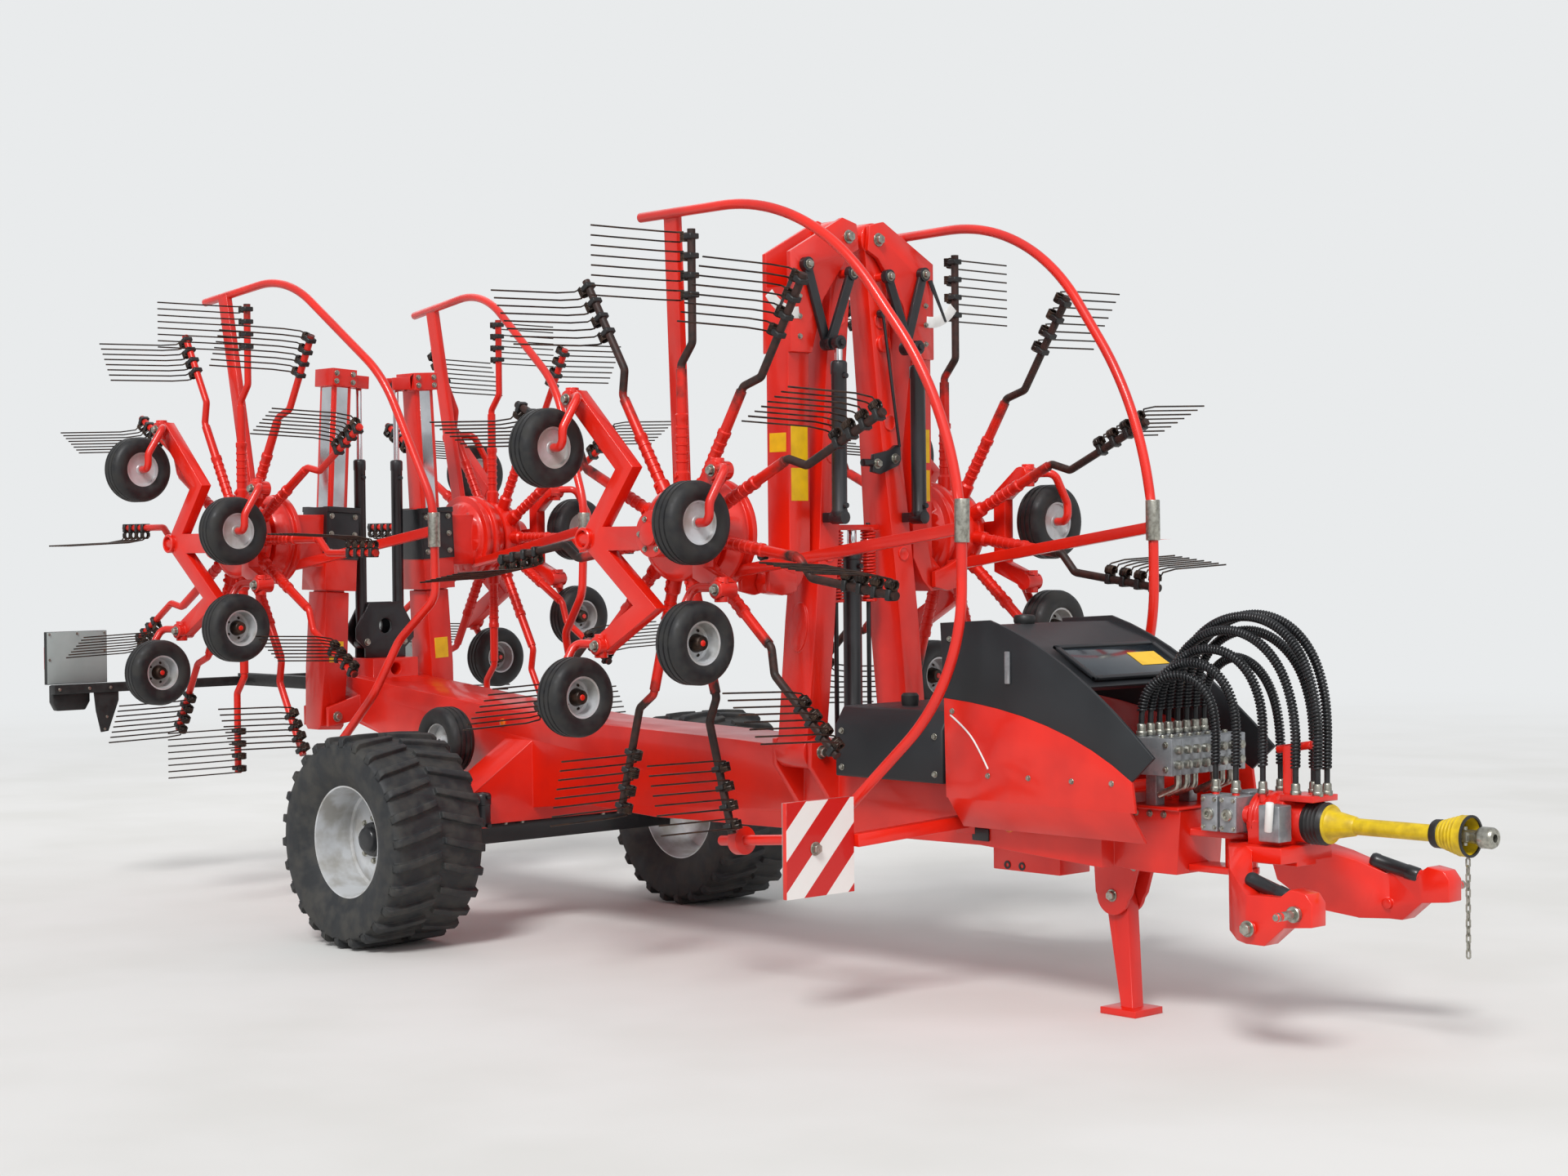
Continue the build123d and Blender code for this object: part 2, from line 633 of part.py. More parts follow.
def valve_block():
    """The valve bank on the nose of the beam, between the hood's side sheets."""
    bank = block(bank_x - 130, bank_x + 130, -260, 260, 1150, bank_top)
    bank += both(block(4530, 4590, -150, -90, nose_top, 1160))
    for route in hose_routes:
        x, y, z = route[0]
        bank += bar((x, y, bank_top - 5), (x, y, z), 17)
    return bank


# Routes of the hoses, from the valve bank over the hitch to their ports
hose_routes = [
    [(4570, -228, 1350), (4570, -228, 1430), (4595, -221, 1520), (4660, -200, 1580), (4750, -172, 1598),
     (4835, -145, 1560), (4885, -125, 1475), (4902, -118, 1365), (4900, -118, 1240), (4900, -118, 1120)],
    [(4570, -163, 1350), (4570, -163, 1450), (4600, -158, 1545), (4670, -150, 1620), (4770, -140, 1655),
     (4875, -130, 1635), (4960, -122, 1560), (5005, -118, 1455), (5014, -118, 1340), (5010, -118, 1230),
     (5010, -118, 1120)],
    [(4570, -98, 1350), (4570, -98, 1460), (4602, -96, 1570), (4680, -92, 1660), (4795, -87, 1712),
     (4920, -81, 1705), (5030, -76, 1640), (5098, -72, 1530), (5123, -70, 1410), (5120, -70, 1265),
     (5120, -70, 1120)],
    [(4570, -33, 1350), (4570, -33, 1480), (4600, -34, 1610), (4685, -38, 1720), (4820, -44, 1790),
     (4975, -51, 1795), (5115, -57, 1735), (5220, -62, 1625), (5275, -64, 1485), (5294, -65, 1340),
     (5290, -65, 1230), (5290, -65, 1120)],
    [(4570, 33, 1350), (4570, 33, 1490), (4598, 31, 1630), (4680, 25, 1750), (4820, 15, 1835),
     (4990, 3, 1862), (5155, -9, 1820), (5285, -19, 1710), (5355, -26, 1560), (5384, -30, 1400),
     (5380, -30, 1260), (5380, -30, 1120)],
    [(4570, 98, 1350), (4570, 98, 1500), (4605, 95, 1645), (4700, 88, 1765), (4850, 79, 1848),
     (5020, 68, 1868), (5185, 58, 1815), (5305, 49, 1700), (5368, 42, 1545), (5384, 40, 1390),
     (5380, 40, 1255), (5380, 40, 1120)],
    [(4570, 163, 1350), (4570, 163, 1475), (4595, 160, 1600), (4675, 151, 1710), (4805, 135, 1780),
     (4955, 116, 1790), (5095, 98, 1740), (5205, 84, 1640), (5268, 74, 1505), (5293, 68, 1365),
     (5290, 68, 1240), (5290, 68, 1120)],
    [(4570, 228, 1350), (4570, 228, 1445), (4598, 221, 1545), (4670, 203, 1625), (4775, 175, 1665),
     (4890, 142, 1652), (4995, 112, 1590), (5070, 88, 1490), (5104, 77, 1370), (5110, 75, 1245),
     (5110, 75, 1120)]]
hose_radius = 13


def hoses():
    """The arched hydraulic hoses over the hitch: runs joined by arcs as large as the runs allow."""
    bundle = None
    for points in hose_routes:
        route = [Vector(*point) for point in points]
        bends = []
        for before, corner, after in zip(route, route[1:], route[2:]):
            turn = radians((corner - before).get_angle(after - corner))
            shorter = min((corner - before).length, (after - corner).length)
            bends.append(0.45 * shorter / tan(turn / 2))
        hose = pipe(route, bends, hose_radius)
        print("hose radii", [round(bend) for bend in bends], "length", round(hose.volume / pi / hose_radius ** 2))
        bundle = hose if bundle is None else bundle + hose
    return bundle


# Hitch

def hitch_yoke():
    """The yoke: a head on the swivel pin, a deck, and two curved arms with link pins."""
    yoke = bar((swivel_x, 0, fork_low + seat), (swivel_x, 0, fork_high - seat), 72)
    yoke += block(swivel_x, 5300, -70, 70, 770, deck_top)
    yoke += block(5080, 5300, -190, 190, 790, deck_top)
    band = top_plate(ribbon([(4980, -40), (5090, -200), (5260, -420), (5400, -link_y), (5720, -link_y)], 100),
                     400, 1100)
    curve = [(4950, 770), (4950, 860), (5110, 860), (5244, 785), (5400, 705), (5560, 712), (5610, 748),
             (5690, 735), (5725, 690), (5720, 600), (5580, 585), (5480, 500), (5300, 500), (5170, 550),
             (5075, 680), (5060, 770)]
    arm = band & side_plate(curve, -700, 0)
    arm += bar((5330, -455, 760), (5560, -485, 700), 30)
    arm += bar((5412, -link_y - 72, 569), (5412, -link_y + 72, 569), 24)
    pin = bar((link_pin_x, -link_y, link_pin_z), (link_pin_x, -link_y - 190, link_pin_z), link_pin_radius)
    yoke += arm + pin + mirrored(arm + pin)
    return yoke - bar((swivel_x, 0, fork_low), (swivel_x, 0, fork_high), swivel_pin + running)


deck_top = 860              # upper face of the yoke's deck


def gearbox():
    """The red ribbed gearbox on the yoke's deck, with the pump blocks and the hose ports."""
    box = block(5075, 5250, -122, 122, deck_top, shaft_z)
    ribbed = [(5070, 0), (5070, 128), (5095, 128), (5105, 114), (5130, 114), (5140, 128), (5165, 128),
              (5175, 114), (5200, 114), (5210, 128), (5240, 128), (5265, 88), (5320 - seat, 88), (5320 - seat, 0)]
    drum = turned([(x - 5000, radius) for x, radius in ribbed], (5000, 0, shaft_z), (1, 0, 0))
    box += drum - block(5000, 5330, -200, 200, 700, deck_top)
    for x_low, x_high in ((4870, 4956), (4972, 5058)):
        box += both(block(x_low, x_high, -186, -52, fork_high + fork_plate + free + 8, 1066))
    box += both(bar((4880, -118, 985), (5080, -100, 985), 40))
    box += block(5185, 5290, -190, -100, 885, 1040)
    box += block(5225, 5400, -92, 92, 1056, 1084)
    box += block(5195, 5240, -28, 28, 1080, 1290) + bar((5150, 0, 1270), (5330, 0, 1300), 18)
    for route in hose_routes:
        x, y, z = route[-1]
        box += bar((x, y, 1060 if x > 5225 else 1040), (x, y, z), 17)
    return box


def pto_shaft():
    """The drive shaft: bell, cone, guard tube, ribbed end cone and the front yoke with its bore."""
    mouth = shaft_tip_x - 5400
    profile = [(-80, 0), (-80, 92), (-20, 95), (-12, 84), (28, 88), (36, 72), (60, 60), (150, 42), (160, 36),
               (560, 36), (572, 52)]
    for rib in range(4):
        along = 590 + rib * 24
        profile += [(along, 60 + rib * 7), (along + 10, 57 + rib * 7)]
    profile += [(690, 88), (716, 88), (716, 80), (640, 52), (640, 28), (mouth - 74, 28), (mouth - 66, 45),
                (mouth, 45), (mouth, yoke_bore), (mouth - 90, yoke_bore), (mouth - 90, 0)]
    return turned(profile, (5400, 0, shaft_z), (1, 0, 0))


chain_x = 6102
chain_links = 13


def guard_chain():
    """The chain that hangs from the shaft's end cone, each link turned and caught in the one above."""
    outer = Polygon((-5, 22), (-11, 14), (-11, -14), (-5, -22), (5, -22), (11, -14), (11, 14), (5, 22), align=None)
    inner = Polygon((-2, 16), (-5, 11), (-5, -11), (-2, -16), (2, -16), (5, -11), (5, 11), (2, 16), align=None)
    link = extrude(Plane.XZ * (outer - inner), amount=3, both=True)
    chain = Part()
    for number in range(chain_links):
        chain += Pos(chain_x, 0, shaft_z - 88 - 22 - seat - number * 31.5) * Rot(0, 0, number * 90) * link
    return chain


# Stand, lamps, boards, spare wheel, springs

def stand():
    """The parking stand: a tapering leg on a foot plate."""
    leg = [(4205, 500), (4220, 590), (4300, 590), (4330, 500), (4355, 30), (4285, 30)]
    shape = side_plate(leg, -stand_half, stand_half)
    shape += block(4210, 4420, -100, 100, 0, 32)
    return shape - bar((stand_x, -50, stand_z), (stand_x, 50, stand_z), stand_pin + running)


lamp_bar_z = 1270


def rear_boards():
    """The bar behind the frame with its two warning boards and lamp housings."""
    x = board_back_x
    bars = block(x + 60, -2000, -40, 40, lamp_bar_z, lamp_bar_z + 80)
    bars += block(x + 60, x + 120, -1420, 1420, lamp_bar_z, lamp_bar_z + 60)
    for side in (-1, 1):
        bars += block(x + 10, x + 60, side * 1215 - 215, side * 1215 + 215, 1180, 1330)
        bars += block(x, x + 35, side * 1215 - 215, side * 1215 + 215, 1330, 1670)
    return bars


def front_boards():
    """The two outriggers in front of the rotors with their warning boards."""
    arm = block(3460, 3580, -beam_half - 12, -beam_half, 800, 920)
    arm += beam((3520, -beam_half - 8, 860), (3400, -1160, 800), 60, 60)
    arm += block(3405, 3432, -1360, -930, 580, 1020)
    return both(arm)


def spare_wheel():
    """The spare gauge wheel on its peg beside the beam."""
    middle = (-420, -460, 1060)
    wheel = gauge_wheel(middle, (0, -1, 0))
    return wheel + bar((-420, -beam_half, 1060), (-420, -500, 1060), gauge_pin + running)


def arm_springs():
    """The upright cylinder between the front arms and the two coil springs beside it."""
    yoke_z = 2290
    shape = bar((lift_x, 0, 1150), (lift_x, 0, yoke_z), 48)
    shape += block(lift_x - 40, lift_x + 40, -160, 160, yoke_z - 30, yoke_z)
    for side in (-1, 1):
        y = side * 118
        shape += bar((lift_x, y, 1150), (lift_x, y, yoke_z - 20), 12)
        shape += bar((lift_x, y, 1900), (lift_x, y, yoke_z - 30), 42)
    return shape


save("main_frame", main_frame())
save("axle_beam", axle_beam())
save("hood_lower", hood_lower())
save("hood_upper", hood_upper())
save("oil_tank", oil_tank())
save("valve_block", valve_block())
save("hoses", hoses())
save("rear_boards", rear_boards())
save("front_boards", front_boards())
save("arm_springs", arm_springs())
save("rear_bracket", rear_bracket())
save("spare_wheel", spare_wheel())
save("hitch_yoke", hitch_yoke())
save("gearbox", gearbox())
save("pto_shaft", pto_shaft())
save("guard_chain", guard_chain())
save("stand", stand())
save_sides("main", "tyre", main_tyre())
save_sides("main", "rim", main_rim())
save_sides("front", "inner_arm", inner_arm())
save_sides("front", "outer_arm", outer_arm())
save_sides("front", "fold_cylinder", fold_cylinder())
save_sides("front", "fold_rod", fold_rod())
save_sides("front", "rotor_frame", front_rotor_frame())
save_sides("front", "tine_rotor", tine_rotor(front_centre, 11, 1500))
save_sides("rear", "arm", rear_arm())
save_sides("rear", "rotor_frame", rear_rotor_frame())
save_sides("rear", "tine_rotor", tine_rotor(rear_centre, 12, 1430))
save_sides("rear", "lift_barrel", lift_barrel())
save_sides("rear", "lift_rod", lift_rod())
for place, centre in (("front", front_centre), ("rear", rear_centre)):
    for number, (x, z, hand) in enumerate(knuckles, start=1):
        middle = (centre[0] + x, -gauge_y, centre[1] + z - gauge_trail)
        save_sides(place, f"gauge_wheel_{number}", gauge_wheel(middle, (1, 0, 0)))
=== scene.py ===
import json
from math import atan2, cos, pi, radians, sin

import bpy
from mathutils import Matrix, Vector


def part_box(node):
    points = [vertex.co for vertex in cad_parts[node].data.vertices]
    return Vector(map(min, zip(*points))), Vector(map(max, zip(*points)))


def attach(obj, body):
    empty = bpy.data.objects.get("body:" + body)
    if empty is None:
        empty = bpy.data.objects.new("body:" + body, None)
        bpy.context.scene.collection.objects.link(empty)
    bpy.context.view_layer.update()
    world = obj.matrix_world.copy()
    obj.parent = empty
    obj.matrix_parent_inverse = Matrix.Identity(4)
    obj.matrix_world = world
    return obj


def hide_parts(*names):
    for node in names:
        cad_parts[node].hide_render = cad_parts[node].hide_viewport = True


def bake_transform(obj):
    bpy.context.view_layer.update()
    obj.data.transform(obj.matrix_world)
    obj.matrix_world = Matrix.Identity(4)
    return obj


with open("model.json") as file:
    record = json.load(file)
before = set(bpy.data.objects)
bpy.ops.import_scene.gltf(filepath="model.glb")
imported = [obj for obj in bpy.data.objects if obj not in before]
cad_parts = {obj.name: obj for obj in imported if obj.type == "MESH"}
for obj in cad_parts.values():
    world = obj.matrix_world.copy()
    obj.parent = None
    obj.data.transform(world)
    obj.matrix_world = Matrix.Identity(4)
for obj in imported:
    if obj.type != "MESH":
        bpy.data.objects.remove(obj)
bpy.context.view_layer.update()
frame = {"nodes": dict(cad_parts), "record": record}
nodes = frame["nodes"]
scene = bpy.context.scene


def boxMiddle(node):
    low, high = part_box(node)
    return (Vector(low) + Vector(high)) / 2


def bodyOf(node):
    for body, members in frame["record"]["behaviour"]["bodies"].items():
        if node in members:
            return body


# places below are measured from the main axle, and hand() puts the pieces into the frame
axleX = boxMiddle("main_right_tyre").x
toFrame = Matrix.Translation((axleX, 0, 0))
mirrorSides = Matrix.Diagonal((1, -1, 1, 1))
sides = (("right", -1), ("left", 1))
forwards, upwards = Vector((1, 0, 0)), Vector((0, 0, 1))


def middleOf(node):
    return boxMiddle(node) - forwards * axleX


# Colours and materials

def linear(hexColour):
    values = [int(hexColour[i:i + 2], 16) / 255 for i in (1, 3, 5)]
    return [v / 12.92 if v < 0.04045 else ((v + 0.055) / 1.055) ** 2.4 for v in values] + [1.0]


def addNode(tree, kind, inputs=None, **settings):
    # an input is a socket to link, a hex colour or a value
    node = tree.nodes.new(kind)
    for name, value in settings.items():
        setattr(node, name, value)
    for name, value in (inputs or {}).items():
        if isinstance(value, bpy.types.NodeSocket):
            tree.links.new(value, node.inputs[name])
        else:
            node.inputs[name].default_value = linear(value) if isinstance(value, str) else value
    return node


def newMaterial(name):
    material = bpy.data.materials.new(name)
    material.use_nodes = True
    material.node_tree.nodes.clear()
    return material, material.node_tree


def coverWith(tree, share, colours, roughness, shaderInputs, glossShare=None):
    # colour and roughness go from their first value to their second as share goes from 0 to 1
    colour = addNode(tree, "ShaderNodeMix", {0: share, 6: colours[0], 7: colours[1]}, data_type="RGBA")
    gloss = addNode(tree, "ShaderNodeMapRange", {"Value": glossShare or share, "To Min": roughness[0],
                                                 "To Max": roughness[1]})
    shader = addNode(tree, "ShaderNodeBsdfPrincipled", {"Base Color": colour.outputs[2],
                                                        "Roughness": gloss.outputs["Result"], **shaderInputs})
    addNode(tree, "ShaderNodeOutputMaterial", {"Surface": shader.outputs[0]})


def cloudyNoise(tree, size, detail):
    place = addNode(tree, "ShaderNodeTexCoord")
    noise = addNode(tree, "ShaderNodeTexNoise", {"Vector": place.outputs["Object"], "Scale": 1 / size,
                                                 "Detail": detail})
    return noise.outputs["Fac"]


def patchesOf(tree, size):
    noise = cloudyNoise(tree, size, 3.0)
    ramp = addNode(tree, "ShaderNodeMapRange", {"Value": noise, "From Min": 0.4, "From Max": 0.65})
    return ramp.outputs["Result"]


def fineGrain(tree, size, height):
    noise = cloudyNoise(tree, size, 2.0)
    bump = addNode(tree, "ShaderNodeBump", {"Height": noise, "Distance": height, "Strength": 0.6})
    return bump.outputs["Normal"]


def finishOf(name, base, patch, patchSize, rough, grainSize, grainHeight, metallic=0.0, coat=0.0):
    # a base colour with irregular patches of a second one, rough values that follow them, and a fine grain;
    # the real grain is mostly under 1 mm, too fine to show in the render, so it is drawn coarser
    material, tree = newMaterial(name)
    coverWith(tree, patchesOf(tree, patchSize), (base, patch), rough,
              {"Metallic": metallic, "Coat Weight": coat, "Coat Roughness": 0.12,
               "Normal": fineGrain(tree, grainSize, grainHeight)})
    return material


# sprayed enamel on steel: clear gloss with a slight orange peel, its tone shifted a little in patches
redEnamel = finishOf("redEnamel", "#E3210C", "#D01A0A", 0.35, (0.28, 0.42), 0.006, 0.00025, coat=0.35)
blackEnamel = finishOf("blackEnamel", "#17181A", "#222326", 0.25, (0.32, 0.48), 0.005, 0.0003, coat=0.2)
# moulded ABS of the hood: fine grain, satin
hoodPlastic = finishOf("hoodPlastic", "#1B1D20", "#24272A", 0.4, (0.42, 0.52), 0.002, 0.0002)
# vulcanised rubber, greyed by dust in patches
tyreRubber = finishOf("tyreRubber", "#232527", "#3D3C39", 0.09, (0.6, 0.8), 0.004, 0.0006)
smallTyreRubber = finishOf("smallTyreRubber", "#18181A", "#2B2A28", 0.06, (0.5, 0.75), 0.004, 0.0004)
# silver lacquer on pressed rims, stained in patches
silverLacquer = finishOf("silverLacquer", "#C9CBCD", "#A9A7A2", 0.12, (0.34, 0.5), 0.004, 0.0002, 0.25)
# hard chrome on the rods and the slide rails, bright and smooth
hardChrome = finishOf("hardChrome", "#E8E9EA", "#CFD2D4", 0.2, (0.08, 0.16), 0.01, 0.00005, 1.0)
# zinc plate on bolts, pins and fittings, dull and slightly yellow
zincPlate = finishOf("zincPlate", "#B4B3A8", "#8E8C82", 0.02, (0.28, 0.45), 0.003, 0.0001, 0.9)
# cast and milled aluminium of the valve bank and the pumps
castAluminium = finishOf("castAluminium", "#A8ABAE", "#8B8E91", 0.05, (0.38, 0.55), 0.003, 0.0003, 0.7)
# spring steel with dark scale, a lighter brown in patches
springSteel = finishOf("springSteel", "#241C18", "#4A382C", 0.05, (0.35, 0.6), 0.002, 0.0001, 0.5)
# braided rubber hose with a soft sheen
hoseRubber = finishOf("hoseRubber", "#141516", "#1E1F21", 0.05, (0.4, 0.55), 0.002, 0.0003)
# polypropylene strip wound round the hoses, smooth from the tool
spiralGuard = finishOf("spiralGuard", "#121315", "#1D1F22", 0.05, (0.3, 0.42), 0.002, 0.0001)
# moulded polyethylene: the guards of the drive shaft, caps and lamp housings
guardYellow = finishOf("guardYellow", "#D9B912", "#B99A10", 0.06, (0.35, 0.5), 0.004, 0.0003)
guardBlack = finishOf("guardBlack", "#1A1A1A", "#262626", 0.05, (0.45, 0.6), 0.004, 0.0003)
# vinyl stickers, smooth and even
yellowVinyl = finishOf("yellowVinyl", "#F2C010", "#E0AE08", 0.1, (0.3, 0.4), 0.003, 0.00005)
whiteVinyl = finishOf("whiteVinyl", "#E9E9E6", "#DADAD6", 0.1, (0.3, 0.4), 0.003, 0.00005)
# powder-coated grey sheet at the back of the boards
greySheet = finishOf("greySheet", "#A3ABA9", "#99A19F", 0.25, (0.4, 0.5), 0.004, 0.0002)
# acrylic lenses of lamps and reflectors, and the window's tinted glass
amberLens = finishOf("amberLens", "#E4690C", "#D65A06", 0.02, (0.12, 0.2), 0.01, 0.0003, coat=0.5)
redLens = finishOf("redLens", "#B20F0C", "#98100C", 0.02, (0.12, 0.2), 0.01, 0.0003, coat=0.5)
darkGlass = finishOf("darkGlass", "#22282E", "#2B3238", 0.2, (0.08, 0.14), 0.05, 0.00005, coat=0.5)


def wornArmEnamel(name, centre, redRadius):
    # red enamel near the rotor's centre, rubbed through by the crop to brown steel further out along each arm
    material, tree = newMaterial(name)
    place = addNode(tree, "ShaderNodeTexCoord")
    middle = addNode(tree, "ShaderNodeCombineXYZ", {"X": centre.x + axleX, "Z": centre.z})
    flat = addNode(tree, "ShaderNodeVectorMath", {0: place.outputs["Object"], 1: (1, 0, 1)}, operation="MULTIPLY")
    reach = addNode(tree, "ShaderNodeVectorMath", {0: flat.outputs[0], 1: middle.outputs[0]}, operation="DISTANCE")
    shifted = addNode(tree, "ShaderNodeMath", {0: cloudyNoise(tree, 1 / 9, 4.0), 1: 0.5, 2: reach.outputs["Value"]},
                      operation="MULTIPLY_ADD")
    worn = addNode(tree, "ShaderNodeMapRange", {"Value": shifted.outputs[0], "From Min": redRadius + 0.22,
                                                "From Max": redRadius + 0.34})
    brown = addNode(tree, "ShaderNodeMix", {0: patchesOf(tree, 0.04), 6: "#3A2019", 7: "#241813"}, data_type="RGBA")
    coverWith(tree, worn.outputs["Result"], ("#D81F0C", brown.outputs[2]), (0.34, 0.55),
              {"Metallic": 0.1, "Normal": fineGrain(tree, 0.006, 0.0004)})
    return material


boardStripes = {"stripe": 0.141, "cell": 0.005, "red": "#C3140F", "white": "#E6E6E2"}


def stripedFoil(name, direction):
    # reflective foil with diagonal stripes and a fine honeycomb
    material, tree = newMaterial(name)
    place = addNode(tree, "ShaderNodeTexCoord")
    split = addNode(tree, "ShaderNodeSeparateXYZ", {"Vector": place.outputs["Object"]})
    across = addNode(tree, "ShaderNodeMath", {0: split.outputs["Y"], 1: direction, 2: split.outputs["Z"]},
                     operation="MULTIPLY_ADD")
    steps = addNode(tree, "ShaderNodeMath", {0: across.outputs[0], 1: boardStripes["stripe"] * 2},
                    operation="FLOORED_MODULO")
    stripe = addNode(tree, "ShaderNodeMath", {0: steps.outputs[0], 1: boardStripes["stripe"]}, operation="GREATER_THAN")
    cells = addNode(tree, "ShaderNodeTexVoronoi", {"Vector": place.outputs["Object"],
                                                   "Scale": 1 / boardStripes["cell"]})
    coverWith(tree, stripe.outputs[0], (boardStripes["red"], boardStripes["white"]), (0.25, 0.45), {"Coat Weight": 0.3},
              cells.outputs["Distance"])
    return material


print("materials done")


# Ways of making pieces

def choose(*pieces):
    # these alone are selected, and the first is active
    bpy.ops.object.select_all(action="DESELECT")
    for piece in pieces:
        piece.select_set(True)
    bpy.context.view_layer.objects.active = pieces[0]
    return pieces[0]


def joined(parts):
    piece = choose(*parts)
    if len(parts) > 1:
        bpy.ops.object.join()
    return piece


def hand(parts, name, material, body="chassis", replaced=None, smoothAngle=38, move=Matrix()):
    # the parts are joined and put into the frame, then the piece gets its finish and its body
    piece = joined(parts) if isinstance(parts, list) else choose(parts)
    bpy.ops.object.transform_apply()
    piece.data.transform(toFrame @ move)
    if move.determinant() < 0:
        piece.data.flip_normals()
    piece.name = piece.data.name = name
    piece.data.materials.append(material)
    bpy.ops.object.shade_smooth_by_angle(angle=radians(smoothAngle))
    if body:
        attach(piece, body)
    if replaced:
        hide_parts(replaced)
    return piece


def inEditMode(piece, work):
    choose(piece)
    bpy.ops.object.mode_set(mode="EDIT")
    bpy.ops.mesh.select_all(action="SELECT")
    work()
    bpy.ops.object.mode_set(mode="OBJECT")


def applyBevel(piece, width, segments=2, angle=35):
    bevel = piece.modifiers.new("Bevel", "BEVEL")
    bevel.width = width
    bevel.segments = segments
    bevel.limit_method = "ANGLE"
    bevel.angle_limit = radians(angle)
    bevel.use_clamp_overlap = False
    bpy.context.view_layer.objects.active = piece
    bpy.ops.object.modifier_apply(modifier=bevel.name)


def copied(piece, matrix):
    # a copy with its own mesh, turned or mirrored about the origin
    copy = piece.copy()
    copy.data = piece.data.copy()
    scene.collection.objects.link(copy)
    copy.data.transform(matrix)
    if matrix.determinant() < 0:
        copy.data.flip_normals()
    return copy


def facing(direction):
    return Vector(direction).to_track_quat("Z", "Y").to_euler()


def aroundCircle(count, radius):
    # the two coordinates of each of the points that share a circle out evenly
    angles = [2 * pi * number / count for number in range(count)]
    return [(radius * cos(angle), radius * sin(angle)) for angle in angles]


def roundRod(start, end, radius, edge=0.002):
    line = Vector(end) - Vector(start)
    bpy.ops.mesh.primitive_cylinder_add(vertices=24, radius=radius, depth=line.length)
    rod = bpy.context.object
    rod.rotation_euler = facing(line)
    rod.location = (Vector(start) + Vector(end)) / 2
    applyBevel(rod, edge)
    bpy.ops.object.transform_apply()
    return rod


def roundedBlock(corner, opposite, edge=0.004, segments=2):
    low, high = Vector(map(min, corner, opposite)), Vector(map(max, corner, opposite))
    bpy.ops.mesh.primitive_cube_add(size=1, location=(low + high) / 2)
    block = bpy.context.object
    block.scale = high - low
    bpy.ops.object.transform_apply()
    applyBevel(block, edge, segments)
    return block


def flatSticker(corner, opposite):
    return roundedBlock(corner, opposite, 0.0005, 1)


def plateFrom(outline, start, end, edge=0.003):
    # a sheet across the machine, cut to an outline of y and z and extruded along x
    bpy.ops.mesh.primitive_circle_add(vertices=len(outline), fill_type="NGON")
    plate = bpy.context.object
    for vertex, (y, z) in zip(plate.data.vertices, outline):
        vertex.co = (start, y, z)

    def thicken():
        bpy.ops.mesh.extrude_region_move(TRANSFORM_OT_translate={"value": (end - start, 0, 0)})
        bpy.ops.mesh.select_all(action="SELECT")
        bpy.ops.mesh.normals_make_consistent(inside=False)
    inEditMode(plate, thicken)
    applyBevel(plate, edge)
    return plate


def lathed(profile, start, direction, steps=32):
    # a profile of distance along the axis and radius, spun round that axis
    bpy.ops.mesh.primitive_circle_add(vertices=len(profile), fill_type="NOTHING")
    turned = bpy.context.object
    for vertex, (along, radius) in zip(turned.data.vertices, profile):
        vertex.co = (radius, 0, along)

    def spinRound():
        bpy.ops.mesh.spin(steps=steps, angle=2 * pi, center=(0, 0, 0), axis=(0, 0, 1))
        bpy.ops.mesh.select_all(action="SELECT")
        bpy.ops.mesh.remove_doubles(threshold=0.00002)
        bpy.ops.mesh.dissolve_degenerate()
        bpy.ops.mesh.select_all(action="SELECT")
        bpy.ops.mesh.normals_make_consistent(inside=False)
    inEditMode(turned, spinRound)
    turned.rotation_euler = facing(direction)
    turned.location = start
    bpy.ops.object.transform_apply()
    return turned


def routeCurve(route, smoothness):
    # an open NURBS line with the route's points as its control points
    bpy.ops.curve.primitive_nurbs_path_add()
    curve = bpy.context.object
    curve.data.splines.clear()
    spline = curve.data.splines.new("NURBS")
    spline.points.add(len(route) - 1)
    for spot, point in zip(spline.points, route):
        spot.co = (*point, 1)
    spline.order_u = 3
    spline.use_endpoint_u = True
    spline.resolution_u = smoothness
    return curve


def bentTube(route, radius, ringSides, smoothness):
    tube = routeCurve(route, smoothness)
    tube.data.bevel_depth = radius
    tube.data.bevel_resolution = ringSides
    tube.data.use_fill_caps = True
    choose(tube)
    bpy.ops.object.convert(target="MESH")
    return bpy.context.object


def sharpTube(points, radius, ringSides, bendLength=0.03):
    # straight runs of metal pipe with short bends: each corner gets a point on both its runs
    route = [Vector(points[0])]
    for before, corner, after in zip(points, points[1:], points[2:]):
        corner = Vector(corner)
        toBefore, toAfter = [(Vector(point) - corner).normalized() * bendLength for point in (before, after)]
        route += [corner + toBefore, corner, corner + toAfter]
    return bentTube(route + [Vector(points[-1])], radius, ringSides, 4)


def boltHead(place, direction, size=0.012, washer=True):
    # a hexagon head with a chamfer on a round washer, both in shares of the head's size
    shapes = [(6, 1.0, 0.9, 0.6, 0.08)] + washer * [(16, 1.35, 0.25, 0.1, 0.05)]
    parts = []
    for corners, radius, depth, high, edge in shapes:
        bpy.ops.mesh.primitive_cylinder_add(vertices=corners, radius=size * radius, depth=size * depth)
        part = bpy.context.object
        applyBevel(part, size * edge, 1)
        part.location = (0, 0, size * high)
        parts.append(part)
    bolt = joined(parts)
    bpy.ops.object.transform_apply()
    bolt.rotation_euler = facing(direction)
    bolt.location = place
    bpy.ops.object.transform_apply()
    return bolt


def boltRow(places, direction, size=0.012):
    return [boltHead(place, direction, size) for place in places]


def boltPair(x, half, y, z, size):
    # one head at each end of a pin that lies along the machine
    return [boltHead((x + end * half, y, z), (end, 0, 0), size) for end in (-1, 1)]


